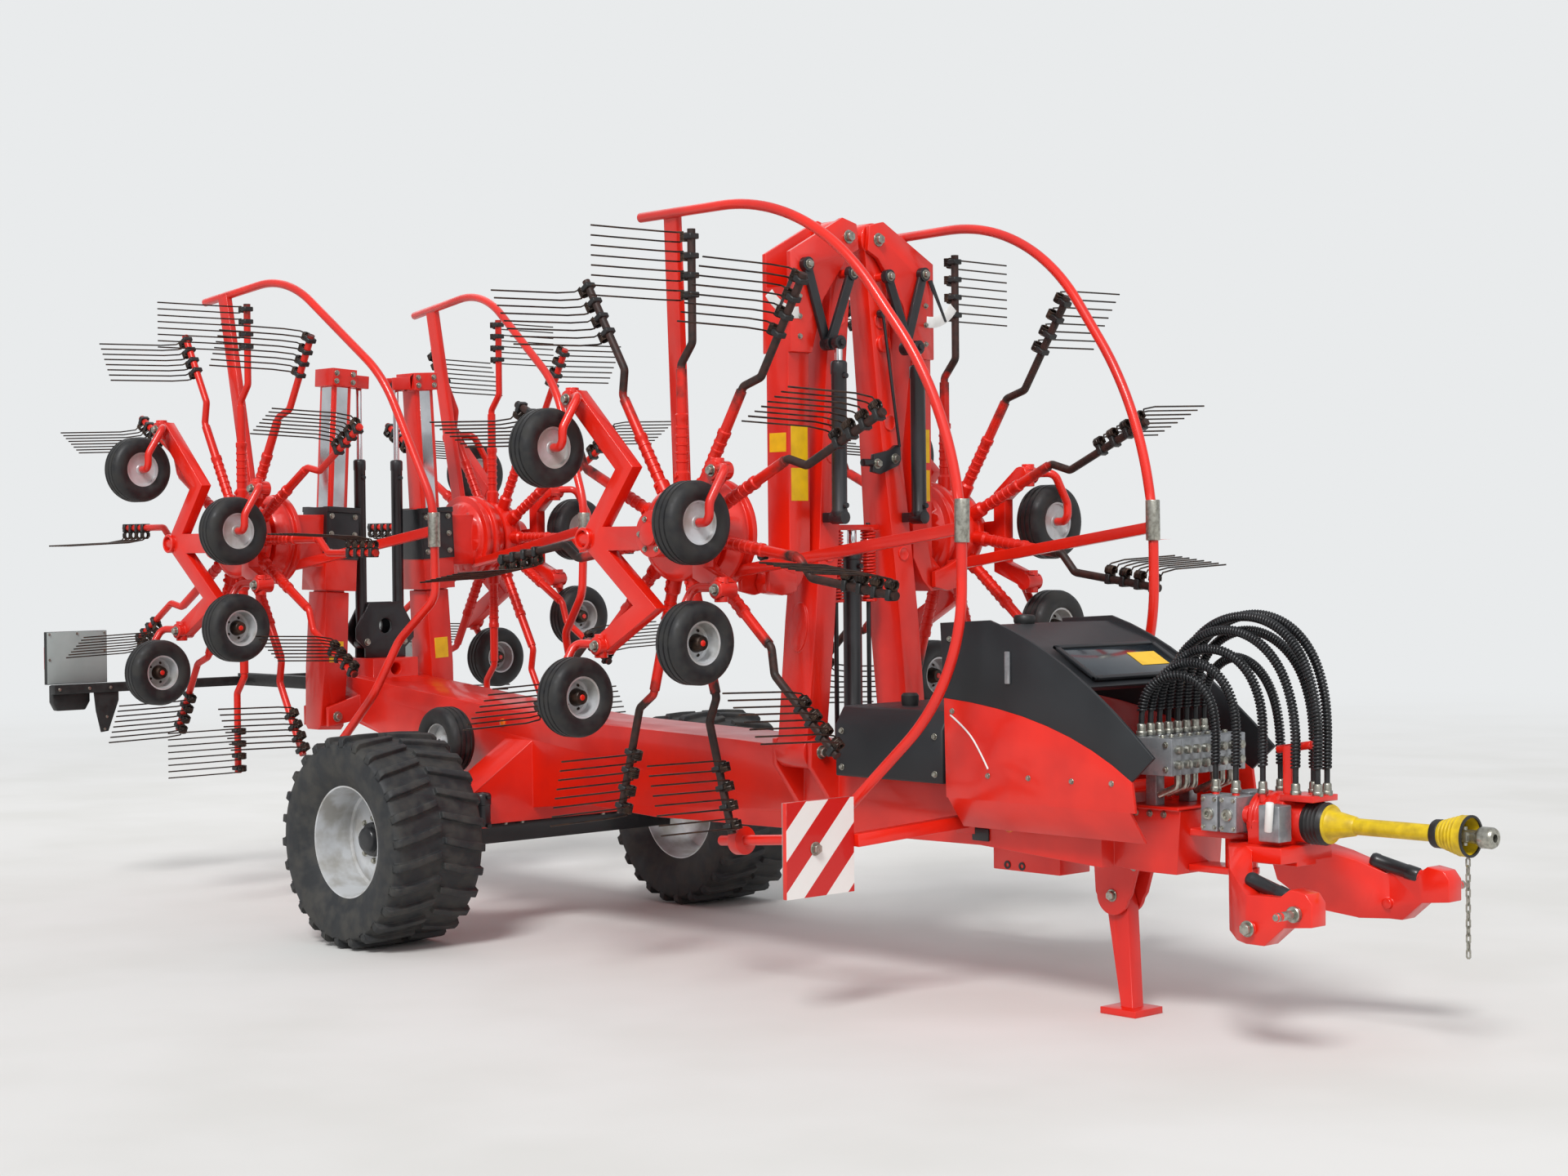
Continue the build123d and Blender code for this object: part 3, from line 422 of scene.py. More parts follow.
def cylinderBarrel(foot, head, radius):
    # welded end, tube, port bosses and the screwed gland
    line = Vector(head) - Vector(foot)
    length = line.length
    profile = [(0, 0), (0, radius * 0.9), (0.010, radius * 1.06), (0.030, radius * 1.06), (0.034, radius),
               (length - 0.070, radius), (length - 0.066, radius * 1.08), (length - 0.012, radius * 1.08),
               (length - 0.004, radius * 0.95), (length, radius * 0.72), (length, radius * 0.56), (length - 0.1, 0)]
    tube = lathed(profile, foot, line)
    places = [Vector(foot) + line * share for share in (0.07, 0.9)]
    return joined([tube] + [roundRod(place, place + forwards * radius * 1.45, 0.014) for place in places])


def bevelledCopy(node, material, width):
    # the node's own shape with its edges broken, as a shop grinds them before painting; it is in the frame already
    copy = copied(nodes[node], Matrix())
    copy.parent = None
    copy.data.materials.clear()

    def clean():
        bpy.ops.mesh.remove_doubles(threshold=0.00002)
        bpy.ops.mesh.dissolve_limited(angle_limit=radians(0.6))
        bpy.ops.mesh.select_all(action="SELECT")
    inEditMode(copy, clean)
    applyBevel(copy, width, 2, 40)
    hand(copy, node + "_body", material, bodyOf(node), replaced=node, move=toFrame.inverted())


# Structure: the CAD shapes with broken edges

armNodes = [arm for side, sign in sides for arm in (f"front_{side}_inner_arm", f"front_{side}_outer_arm",
                                                    f"rear_{side}_arm")]
rotorFrames = [f"{place}_{side}_rotor_frame" for side, sign in sides for place in ("front", "rear")]
for material, width, group in ((redEnamel, 0.004, ["main_frame", "hitch_yoke"] + armNodes),
                               (redEnamel, 0.003, ["gearbox", "stand"] + rotorFrames),
                               (redEnamel, 0.002, ["hood_lower"]), (hoodPlastic, 0.002, ["hood_upper"]),
                               (hoodPlastic, 0.012, ["oil_tank"]), (castAluminium, 0.003, ["valve_block"]),
                               (blackEnamel, 0.004, ["axle_beam"]), (blackEnamel, 0.002, ["rear_bracket"])):
    for node in group:
        bevelledCopy(node, material, width)
chainSlots = nodes["guard_chain"].data.materials
chainSlots.clear()
chainSlots.append(zincPlate)
print("structure done")


# Cords: the hoses over the hitch, with their lengths and the routes that the part has too

hoses = [
    (0.903, [(4.570, -0.228, 1.350), (4.570, -0.228, 1.430), (4.595, -0.221, 1.520), (4.660, -0.200, 1.580),
             (4.750, -0.172, 1.598), (4.835, -0.145, 1.560), (4.885, -0.125, 1.475), (4.902, -0.118, 1.365),
             (4.900, -0.118, 1.240), (4.900, -0.118, 1.120)]),
    (1.069, [(4.570, -0.163, 1.350), (4.570, -0.163, 1.450), (4.600, -0.158, 1.545), (4.670, -0.150, 1.620),
             (4.770, -0.140, 1.655), (4.875, -0.130, 1.635), (4.960, -0.122, 1.560), (5.005, -0.118, 1.455),
             (5.014, -0.118, 1.340), (5.010, -0.118, 1.230), (5.010, -0.118, 1.120)]),
    (1.253, [(4.570, -0.098, 1.350), (4.570, -0.098, 1.460), (4.602, -0.096, 1.570), (4.680, -0.092, 1.660),
             (4.795, -0.087, 1.712), (4.920, -0.081, 1.705), (5.030, -0.076, 1.640), (5.098, -0.072, 1.530),
             (5.123, -0.070, 1.410), (5.120, -0.070, 1.265), (5.120, -0.070, 1.120)]),
    (1.518, [(4.570, -0.033, 1.350), (4.570, -0.033, 1.480), (4.600, -0.034, 1.610), (4.685, -0.038, 1.720),
             (4.820, -0.044, 1.790), (4.975, -0.051, 1.795), (5.115, -0.057, 1.735), (5.220, -0.062, 1.625),
             (5.275, -0.064, 1.485), (5.294, -0.065, 1.340), (5.290, -0.065, 1.230), (5.290, -0.065, 1.120)]),
    (1.700, [(4.570, 0.033, 1.350), (4.570, 0.033, 1.490), (4.598, 0.031, 1.630), (4.680, 0.025, 1.750),
             (4.820, 0.015, 1.835), (4.990, 0.003, 1.862), (5.155, -0.009, 1.820), (5.285, -0.019, 1.710),
             (5.355, -0.026, 1.560), (5.384, -0.030, 1.400), (5.380, -0.030, 1.260), (5.380, -0.030, 1.120)]),
    (1.714, [(4.570, 0.098, 1.350), (4.570, 0.098, 1.500), (4.605, 0.095, 1.645), (4.700, 0.088, 1.765),
             (4.850, 0.079, 1.848), (5.020, 0.068, 1.868), (5.185, 0.058, 1.815), (5.305, 0.049, 1.700),
             (5.368, 0.042, 1.545), (5.384, 0.040, 1.390), (5.380, 0.040, 1.255), (5.380, 0.040, 1.120)]),
    (1.512, [(4.570, 0.163, 1.350), (4.570, 0.163, 1.475), (4.595, 0.160, 1.600), (4.675, 0.151, 1.710),
             (4.805, 0.135, 1.780), (4.955, 0.116, 1.790), (5.095, 0.098, 1.740), (5.205, 0.084, 1.640),
             (5.268, 0.074, 1.505), (5.293, 0.068, 1.365), (5.290, 0.068, 1.240), (5.290, 0.068, 1.120)]),
    (1.162, [(4.570, 0.228, 1.350), (4.570, 0.228, 1.445), (4.598, 0.221, 1.545), (4.670, 0.203, 1.625),
             (4.775, 0.175, 1.665), (4.890, 0.142, 1.652), (4.995, 0.112, 1.590), (5.070, 0.088, 1.490),
             (5.104, 0.077, 1.370), (5.110, 0.075, 1.245), (5.110, 0.075, 1.120)])]
hoseMake = {"width": 0.026, "guardEnds": 0.075, "pitch": 0.0155, "lift": 0.0065, "wire": 0.0064, "perTurn": 7}


def spiralAround(path):
    # a plastic strip wound round the hose between its two ferrules
    reached = [0.0]
    for before, after in zip(path, path[1:]):
        reached.append(reached[-1] + (after - before).length)
    step = hoseMake["pitch"] / hoseMake["perTurn"]
    count = int((reached[-1] - 2 * hoseMake["guardEnds"]) / step)
    side = Vector((0, 1, 0))
    points, segment = [], 0
    for number in range(count + 1):
        at = hoseMake["guardEnds"] + number * step
        while reached[segment + 1] < at:
            segment += 1
        run = path[segment + 1] - path[segment]
        middle = path[segment] + run * (at - reached[segment]) / (reached[segment + 1] - reached[segment])
        ahead = run.normalized()
        side = (side - ahead * side.dot(ahead)).normalized()
        angle = 2 * pi * number / hoseMake["perTurn"]
        out = side * cos(angle) + ahead.cross(side) * sin(angle)
        points.append(middle + out * (hoseMake["width"] / 2 + hoseMake["lift"]))
    return bentTube(points, hoseMake["wire"], 1, 1)


def makeHose(name, route):
    line = routeCurve(route, 10)
    path = [vertex.co.copy() for vertex in bpy.data.meshes.new_from_object(line).vertices]
    bpy.data.objects.remove(line)
    tube = hand(bentTube(route, hoseMake["width"] / 2, 4, 10), name, hoseRubber, None, replaced="hoses", smoothAngle=60)
    guard = hand(spiralAround(path), name + "_spiral", spiralGuard, None, smoothAngle=60)
    for piece in (tube, guard):
        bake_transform(piece)


for number, (length, route) in enumerate(hoses, 1):
    makeHose(f"hose_{number}", route)
print("hoses done")


# Main wheels

mainWheel = {"boltCircle": 0.118, "bolts": 8, "dish": 0.058}


def makeMainWheel(side, sign):
    tyre = f"main_{side}_tyre"
    body, middle, outward = bodyOf(tyre), middleOf(tyre), Vector((0, sign, 0))
    bevelledCopy(tyre, tyreRubber, 0.005)
    dish = [(-0.238, 0.300), (-0.240, 0.318), (-0.225, 0.322), (-0.205, 0.308), (-0.150, 0.300), (0.150, 0.300),
            (0.205, 0.308), (0.228, 0.322), (0.243, 0.319), (0.240, 0.300), (0.205, 0.290), (0.120, 0.284),
            (0.030, 0.278), (0.022, 0.262), (0.044, 0.215), (0.058, 0.165), (0.058, 0.0401), (0.046, 0.0401),
            (0.046, 0.155), (0.030, 0.210), (0.004, 0.270), (-0.120, 0.284), (-0.205, 0.290)]
    hand(lathed(dish, middle, outward, 72), f"main_{side}_dish", silverLacquer, body, replaced=f"main_{side}_rim")
    hub = [(0.050, 0.041), (0.050, 0.092), (0.062, 0.096), (0.078, 0.092), (0.082, 0.074), (0.108, 0.070),
           (0.116, 0.062), (0.120, 0.030), (0.120, 0), (0.112, 0), (0.112, 0.041)]
    hand(lathed(hub, middle, outward, 40), f"main_{side}_hub", blackEnamel, body)
    circle = aroundCircle(mainWheel["bolts"], mainWheel["boltCircle"])
    bolts = boltRow([middle + Vector((x, sign * mainWheel["dish"], z)) for x, z in circle], outward, 0.014)
    hand(bolts, f"main_{side}_wheelBolts", zincPlate, body)
    stem = roundRod(middle + Vector((0.245, sign * 0.03, 0)), middle + Vector((0.262, sign * 0.085, 0)), 0.006)
    hand(stem, f"main_{side}_valve", guardBlack, body)


for side, sign in sides:
    makeMainWheel(side, sign)
print("main wheels done")


# Gauge wheels: the small grooved tyres with their pressed discs

gaugeTyre = {"radius": 0.202, "groove": 0.007, "hubBolts": 5, "hubCircle": 0.060, "spareAt": (-0.420, -0.460, 1.060)}


def gaugeProfile():
    # from one bead over the shoulder, the ribs and the three grooves to the other bead
    radius, low = gaugeTyre["radius"], gaugeTyre["radius"] - gaugeTyre["groove"]
    shoulder = [(-0.058, 0.1015), (-0.070, 0.112), (-0.081, 0.135), (-0.0825, 0.155), (-0.078, 0.176),
                (-0.066, 0.190), (-0.052, 0.1975)]
    grooves = []
    for middle in (-0.034, 0.0, 0.034):
        grooves += [(middle - 0.006, radius - 0.001), (middle - 0.0035, low), (middle + 0.0035, low),
                    (middle + 0.006, radius - 0.001)]
    return shoulder + grooves + [(-along, high) for along, high in reversed(shoulder)]


def makeGaugeWheels():
    start = middleOf("front_right_gauge_wheel_1")
    rimEdge = [(-0.030, 0.094), (-0.060, 0.1005), (-0.064, 0.110), (-0.059, 0.112), (-0.054, 0.101), (0.054, 0.101),
               (0.059, 0.112), (0.064, 0.110), (0.060, 0.0965)]
    hubTube = [(0.048, 0.030), (0.048, 0.0152), (-0.048, 0.0152), (-0.048, 0.030), (-0.036, 0.033)]
    flat = rimEdge + [(0.047, 0.092), (0.043, 0.080), (0.044, 0.034)] + hubTube + [(0.036, 0.042), (0.036, 0.090)]
    hollow = rimEdge + [(0.020, 0.092), (-0.004, 0.086), (-0.008, 0.072), (0.004, 0.046), (0.020, 0.034)] + hubTube
    hollow += [(-0.006, 0.042), (-0.018, 0.070), (-0.014, 0.090)]
    hubEnd = [(0, 0.0345), (0, 0.044), (0.006, 0.046), (0.024, 0.042), (0.052, 0.036), (0.056, 0.032), (0.056, 0.0152),
              (0, 0.0152)]
    tyre, flatDisc, openDisc = [lathed(profile, start, forwards, steps)
                                for profile, steps in ((gaugeProfile(), 56), (flat, 48), (hollow, 48))]
    places = [start + Vector((-0.003, y, z)) for y, z in aroundCircle(gaugeTyre["hubBolts"], gaugeTyre["hubCircle"])]
    hub = joined([lathed(hubEnd, start, forwards, 28)] + boltRow(places, forwards, 0.007))
    nuts = joined(boltPair(start.x, 0.049, start.y, start.z, 0.012))
    turned = {"spare_wheel": Matrix.Translation(gaugeTyre["spareAt"]) @ Matrix.Rotation(pi / 2, 4, "Z")}
    for node in [f"{place}_{side}_gauge_wheel_{number}" for place in ("front", "rear") for side, sign in sides
                 for number in range(1, 5)] + ["spare_wheel"]:
        move = (turned.get(node) or Matrix.Translation(middleOf(node))) @ Matrix.Translation(-start)
        # wheels 1 and 2 of a rotor have flat discs with nuts, and the others and the spare open ones with a hub
        covered = node[-1] in "12"
        for part, name, material in ((tyre, "tyre", smallTyreRubber),
                                     (flatDisc if covered else openDisc, "disc", silverLacquer),
                                     (nuts if covered else hub, "hub", springSteel)):
            hand(copied(part, move), f"{node}_{name}", material, bodyOf(node), replaced=node if part is tyre else None)
    for part in (tyre, flatDisc, openDisc, hub, nuts):
        bpy.data.objects.remove(part)


makeGaugeWheels()
print("gauge wheels done")


# Tine rotors: drum, stepped arms, and double spring tines with their coils

rotor = {"planeY": 0.9495, "bend": 0.840, "step": 0.085, "firstTine": 1.152, "tineTip": 1.493, "wire": 0.0045,
         "coil": 0.026, "coilTurns": 6, "perTurn": 8, "armRadius": 0.021}
rotors = {"front": {"centre": (2.270, 0, 2.250), "arms": 11, "reach": 1.500, "redTo": 0.75},
          "rear": {"centre": (-1.820, 0, 2.250), "arms": 12, "reach": 1.430, "redTo": 1.40}}


def doubleTine(low, high):
    # one wire: a tine, the coil round the arm's side, and the second tine, at heights low and high
    plane = -rotor["planeY"]
    middle = rotor["step"] - rotor["armRadius"] - 0.025
    out = middle - rotor["coil"]
    leg = [(out - 0.040, -rotor["tineTip"]), (out - 0.034, plane - 0.200), (out - 0.012, plane - 0.060)]
    steps = rotor["coilTurns"] * rotor["perTurn"] + rotor["perTurn"] // 2
    coil = []
    for step in range(steps):
        angle = pi + 2 * pi * step / rotor["perTurn"]
        coil.append((middle + rotor["coil"] * cos(angle), plane + rotor["coil"] * sin(angle),
                     low + (high - low) * step / steps))
    points = [(x, y, low) for x, y in leg] + coil + [(out, plane, high)] + [(x, y, high) for x, y in reversed(leg)]
    return bentTube(points, rotor["wire"], 1, 1)


def makeRotor(place, side, sign):
    facts = rotors[place]
    node = f"{place}_{side}_tine_rotor"
    body = bodyOf(node)
    centre = Vector(facts["centre"])
    plane, step, bend = -rotor["planeY"], rotor["step"], rotor["bend"]
    sleeve = [(0.185, 0), (0.185, 0.040), (0.300, 0.040), (0.312, 0.030)]
    for at in (0.350, 0.392, 0.434, 0.476, 0.518):
        sleeve += [(at, 0.030), (at + 0.003, 0.0335), (at + 0.013, 0.0335), (at + 0.016, 0.030)]
    sleeve += [(0.560, 0.030), (0.566, 0.034), (0.590, 0.034), (0.596, 0.027), (0.815, 0.026), (0.830, 0)]
    root = lathed(sleeve, (0, plane, 0), upwards, 16)
    pipe = sharpTube([(0, plane, 0.700), (0, plane, bend), (step, plane, bend + 0.1), (step, plane, facts["reach"])],
                     rotor["armRadius"], 4)
    arm = joined([root, pipe] + boltRow([(0, plane - 0.038, high) for high in (0.250, 0.285)], (0, -1, 0), 0.011))
    gap = (facts["reach"] - 0.012 - rotor["firstTine"]) / 7
    springs, clamps = [], []
    for number in range(0, 8, 2):
        low = rotor["firstTine"] + number * gap
        springs.append(doubleTine(low, low + gap))
        clamps.append(roundedBlock((step - 0.028, plane - 0.030, low + gap / 2 - 0.014),
                                   (step + 0.026, plane + 0.030, low + gap / 2 + 0.014), 0.004, 1))
    armEnamel = wornArmEnamel(f"{place}_{side}_armEnamel", centre, facts["redTo"])
    flip = mirrorSides if side == "left" else Matrix()
    turns = [Matrix.Rotation(2 * pi * number / facts["arms"], 4, "Y") for number in range(facts["arms"])]
    for part, name, material in ((arm, "arms", armEnamel), (joined(springs), "tines", springSteel),
                                 (joined(clamps), "clamps", guardBlack)):
        ring = [copied(part, Matrix.Translation(centre) @ turn) for turn in turns]
        bpy.data.objects.remove(part)
        hand(ring, f"{place}_{side}_{name}", material, body, node, move=flip)
    drum = lathed([(0.868, 0.0551), (0.868, 0.175), (0.872, 0.200), (0.888, 0.232), (0.900, 0.236), (0.925, 0.236),
                   (0.930, 0.228), (0.968, 0.228), (0.973, 0.236), (1.000, 0.236), (1.012, 0.228), (1.033, 0.196),
                   (1.035, 0.185), (1.030, 0.120), (1.035, 0.100), (1.035, 0.0551)], centre, (0, sign, 0), 64)
    hand(drum, f"{place}_{side}_drum", redEnamel, body)


for place in rotors:
    for side, sign in sides:
        makeRotor(place, side, sign)
print("rotors done")


# Drive shaft

shaft = {"start": (5.400, 0, 0.960), "length": 0.830}


def makeShaft():
    tip = shaft["length"]
    bell = [(-0.080, 0.050), (-0.080, 0.086), (-0.074, 0.092)]
    for at in (-0.060, -0.040, -0.020, 0):
        bell += [(at, 0.092), (at + 0.006, 0.0945), (at + 0.012, 0.092)]
    bell += [(0.024, 0.088), (0.030, 0.084), (0.030, 0.070), (0.022, 0.066), (-0.070, 0.050)]
    cone = [(0.020, 0.040), (0.020, 0.084), (0.030, 0.086), (0.034, 0.082), (0.036, 0.072), (0.060, 0.060),
            (0.110, 0.050), (0.150, 0.043), (0.160, 0.037), (0.160, 0.034), (0.120, 0.034)]
    tube = [(0.150, 0.030), (0.150, 0.0355), (0.154, 0.036), (0.556, 0.036), (0.562, 0.0355), (0.562, 0.030)]
    collar = [(0.545, 0.035), (0.545, 0.056), (0.552, 0.060), (0.578, 0.061), (0.584, 0.056), (0.584, 0.035)]
    end = [(0.580, 0.050), (0.582, 0.058)]
    for number in range(5):
        at, high = 0.588 + number * 0.020, 0.060 + number * 0.006
        end += [(at, high), (at + 0.006, high + 0.0025), (at + 0.012, high + 0.0005)]
    end += [(0.690, 0.0865), (0.714, 0.088), (0.718, 0.085), (0.716, 0.080), (0.690, 0.077), (0.640, 0.050)]
    ring = [(0.712, 0.078), (0.712, 0.0885), (0.720, 0.0885), (0.720, 0.078)]
    yoke = [(0.600, 0), (0.600, 0.028), (tip - 0.084, 0.028), (tip - 0.072, 0.040), (tip - 0.060, 0.045),
            (tip - 0.012, 0.045), (tip - 0.006, 0.042), (tip, 0.038), (tip, 0.0175), (tip - 0.090, 0.0175),
            (tip - 0.090, 0)]
    for profile, name, material in ((bell, "bell", guardBlack), (cone, "cone", guardYellow),
                                    (tube, "guardTube", guardYellow), (collar, "collar", guardBlack),
                                    (end, "endCone", guardYellow), (ring, "endRing", guardBlack),
                                    (yoke, "yokeShaft", zincPlate)):
        hand(lathed(profile, shaft["start"], forwards, 48), "shaft_" + name, material, "hitch", replaced="pto_shaft")
    cross = [roundedBlock((0.640, y - 0.010, -0.022), (0.720, y + 0.010, 0.022), 0.006) for y in (-0.030, 0.030)]
    cross += [roundRod((0.685, -0.044, 0), (0.685, 0.044, 0), 0.013),
              roundRod((0.685, 0, -0.040), (0.685, 0, 0.040), 0.013)]
    hand(cross, "shaft_cross", zincPlate, "hitch", move=Matrix.Translation(shaft["start"]))


makeShaft()
print("shaft done")


# Warning boards and lamps

board = {"half": 0.215, "frontY": 1.145, "frontZ": (0.580, 1.020), "rearY": 1.215, "rearZ": (1.330, 1.670)}


def panel(back, face, y, heights, edge=0.0004, segments=1):
    low, high = heights
    return roundedBlock((back, y - board["half"], low), (face, y + board["half"], high), edge, segments)


def makeFrontBoard(side, sign):
    y, heights = sign * board["frontY"], board["frontZ"]
    inner, outer = Vector((3.520, sign * 0.2505, 0.860)), Vector((3.432, sign * 0.926, 0.816))
    stay = roundedBlock((-0.030, -0.030, 0), (0.030, 0.030, (outer - inner).length), 0.004)
    stay.data.transform(Matrix.Translation(inner) @ (outer - inner).to_track_quat("Z", "X").to_matrix().to_4x4())
    hand([panel(3.405, 3.432, y, heights, 0.003, 2), stay,
          roundedBlock((3.460, sign * 0.2505, 0.800), (3.580, sign * 0.264, 0.920), 0.003),
          roundedBlock((3.378, sign * 0.930, 0.786), (3.4055, sign * 1.300, 0.846)),
          roundedBlock((3.385, sign * 0.900, 0.788), (3.430, sign * 0.960, 0.844))],
         f"front_{side}_outrigger", redEnamel, replaced="front_boards")
    hand(boltHead((3.4332, sign * 1.180, 0.800), forwards, 0.024), f"front_{side}_boardStud", zincPlate)
    foil = stripedFoil(f"frontFoil_{side}", sign)
    hand(panel(3.431, 3.4332, y, heights), f"front_{side}_foil", foil)
    hand(panel(3.4025, 3.4045, y, heights), f"front_{side}_boardBack", greySheet)


def makeRearBoard(side, sign):
    y, heights = sign * board["rearY"], board["rearZ"]
    foil = stripedFoil(f"rearFoil_{side}", -sign)
    hand(panel(-3.4512, -3.449, y, heights), f"rear_{side}_foil", foil)
    # the lamp housing under the board and the bent sheet that holds it, measured outwards from the board's middle
    lamp = [(0.189, 1.325), (0.189, 1.215), (0.160, 1.160), (-0.040, 1.160), (-0.073, 1.215), (-0.073, 1.325)]
    bracket = [(-0.076, 1.274), (-0.254, 1.274), (-0.254, 1.215), (-0.178, 1.016), (-0.124, 1.010), (-0.090, 1.150)]
    lamp, bracket = [[(y + sign * out, z) for out, z in outline] for outline in (lamp, bracket)]
    flange = roundedBlock((-3.392, y - sign * 0.254, 1.205), (-3.346, y - sign * 0.248, 1.274), 0.002)
    hand([panel(-3.450, -3.418, y, heights, 0.003, 2), plateFrom(lamp, -3.444, -3.386, 0.008),
          plateFrom(bracket, -3.350, -3.342, 0.002), flange],
         f"rear_{side}_lampCase", guardBlack, replaced="rear_boards")
    hand(roundedBlock((-3.419, y - 0.211, 1.334), (-3.4145, y + 0.211, 1.668), 0.001), f"rear_{side}_sheet", greySheet)
    studs = []
    for x, size, places in ((-3.4145, 0.006, ((0.195, 1.655), (0, 1.655), (-0.195, 1.655), (0.195, 1.490),
                                              (-0.195, 1.540))),
                            (-3.330, 0.008, ((0.170, 1.300), (-0.040, 1.300), (-0.190, 1.300))),
                            (-3.342, 0.007, ((-0.168, 1.109), (-0.150, 1.030)))):
        studs += boltRow([(x, y + sign * out, z) for out, z in places], forwards, size)
    hand(studs, f"rear_{side}_studs", zincPlate)
    for out, material, name in ((0.125, redLens, "tail"), (0.058, amberLens, "turn"), (-0.010, redLens, "brake")):
        lens = roundedBlock((-3.456, y + sign * out - 0.030, 1.195), (-3.443, y + sign * out + 0.030, 1.300), 0.005, 3)
        hand(lens, f"rear_{side}_{name}Lens", material)


hand([roundedBlock((-3.390, -1.420, 1.270), (-3.330, 1.420, 1.330)),
      roundedBlock((-3.390, -0.040, 1.270), (-2.000, 0.040, 1.350))], "rear_carrier", guardBlack,
     replaced="rear_boards")
for side, sign in sides:
    makeFrontBoard(side, sign)
    makeRearBoard(side, sign)
print("boards done")


# Front arms

frontArm = {"x": 2.500, "liftY": 0.370, "liftZ": 1.150, "kneeY": 0.107, "kneeZ": 3.750, "face": 2.580, "cheek": 2.604,
            "outerIn": 0.372, "outerOut": 0.515, "cylinderX": 2.705, "cylinderY": 0.288, "eyeY": 0.2835}
scaleArc = {"y": 0.485, "z": 3.575, "outer": 0.258, "inner": 0.200, "from": 218, "sweep": 58, "steps": 10}


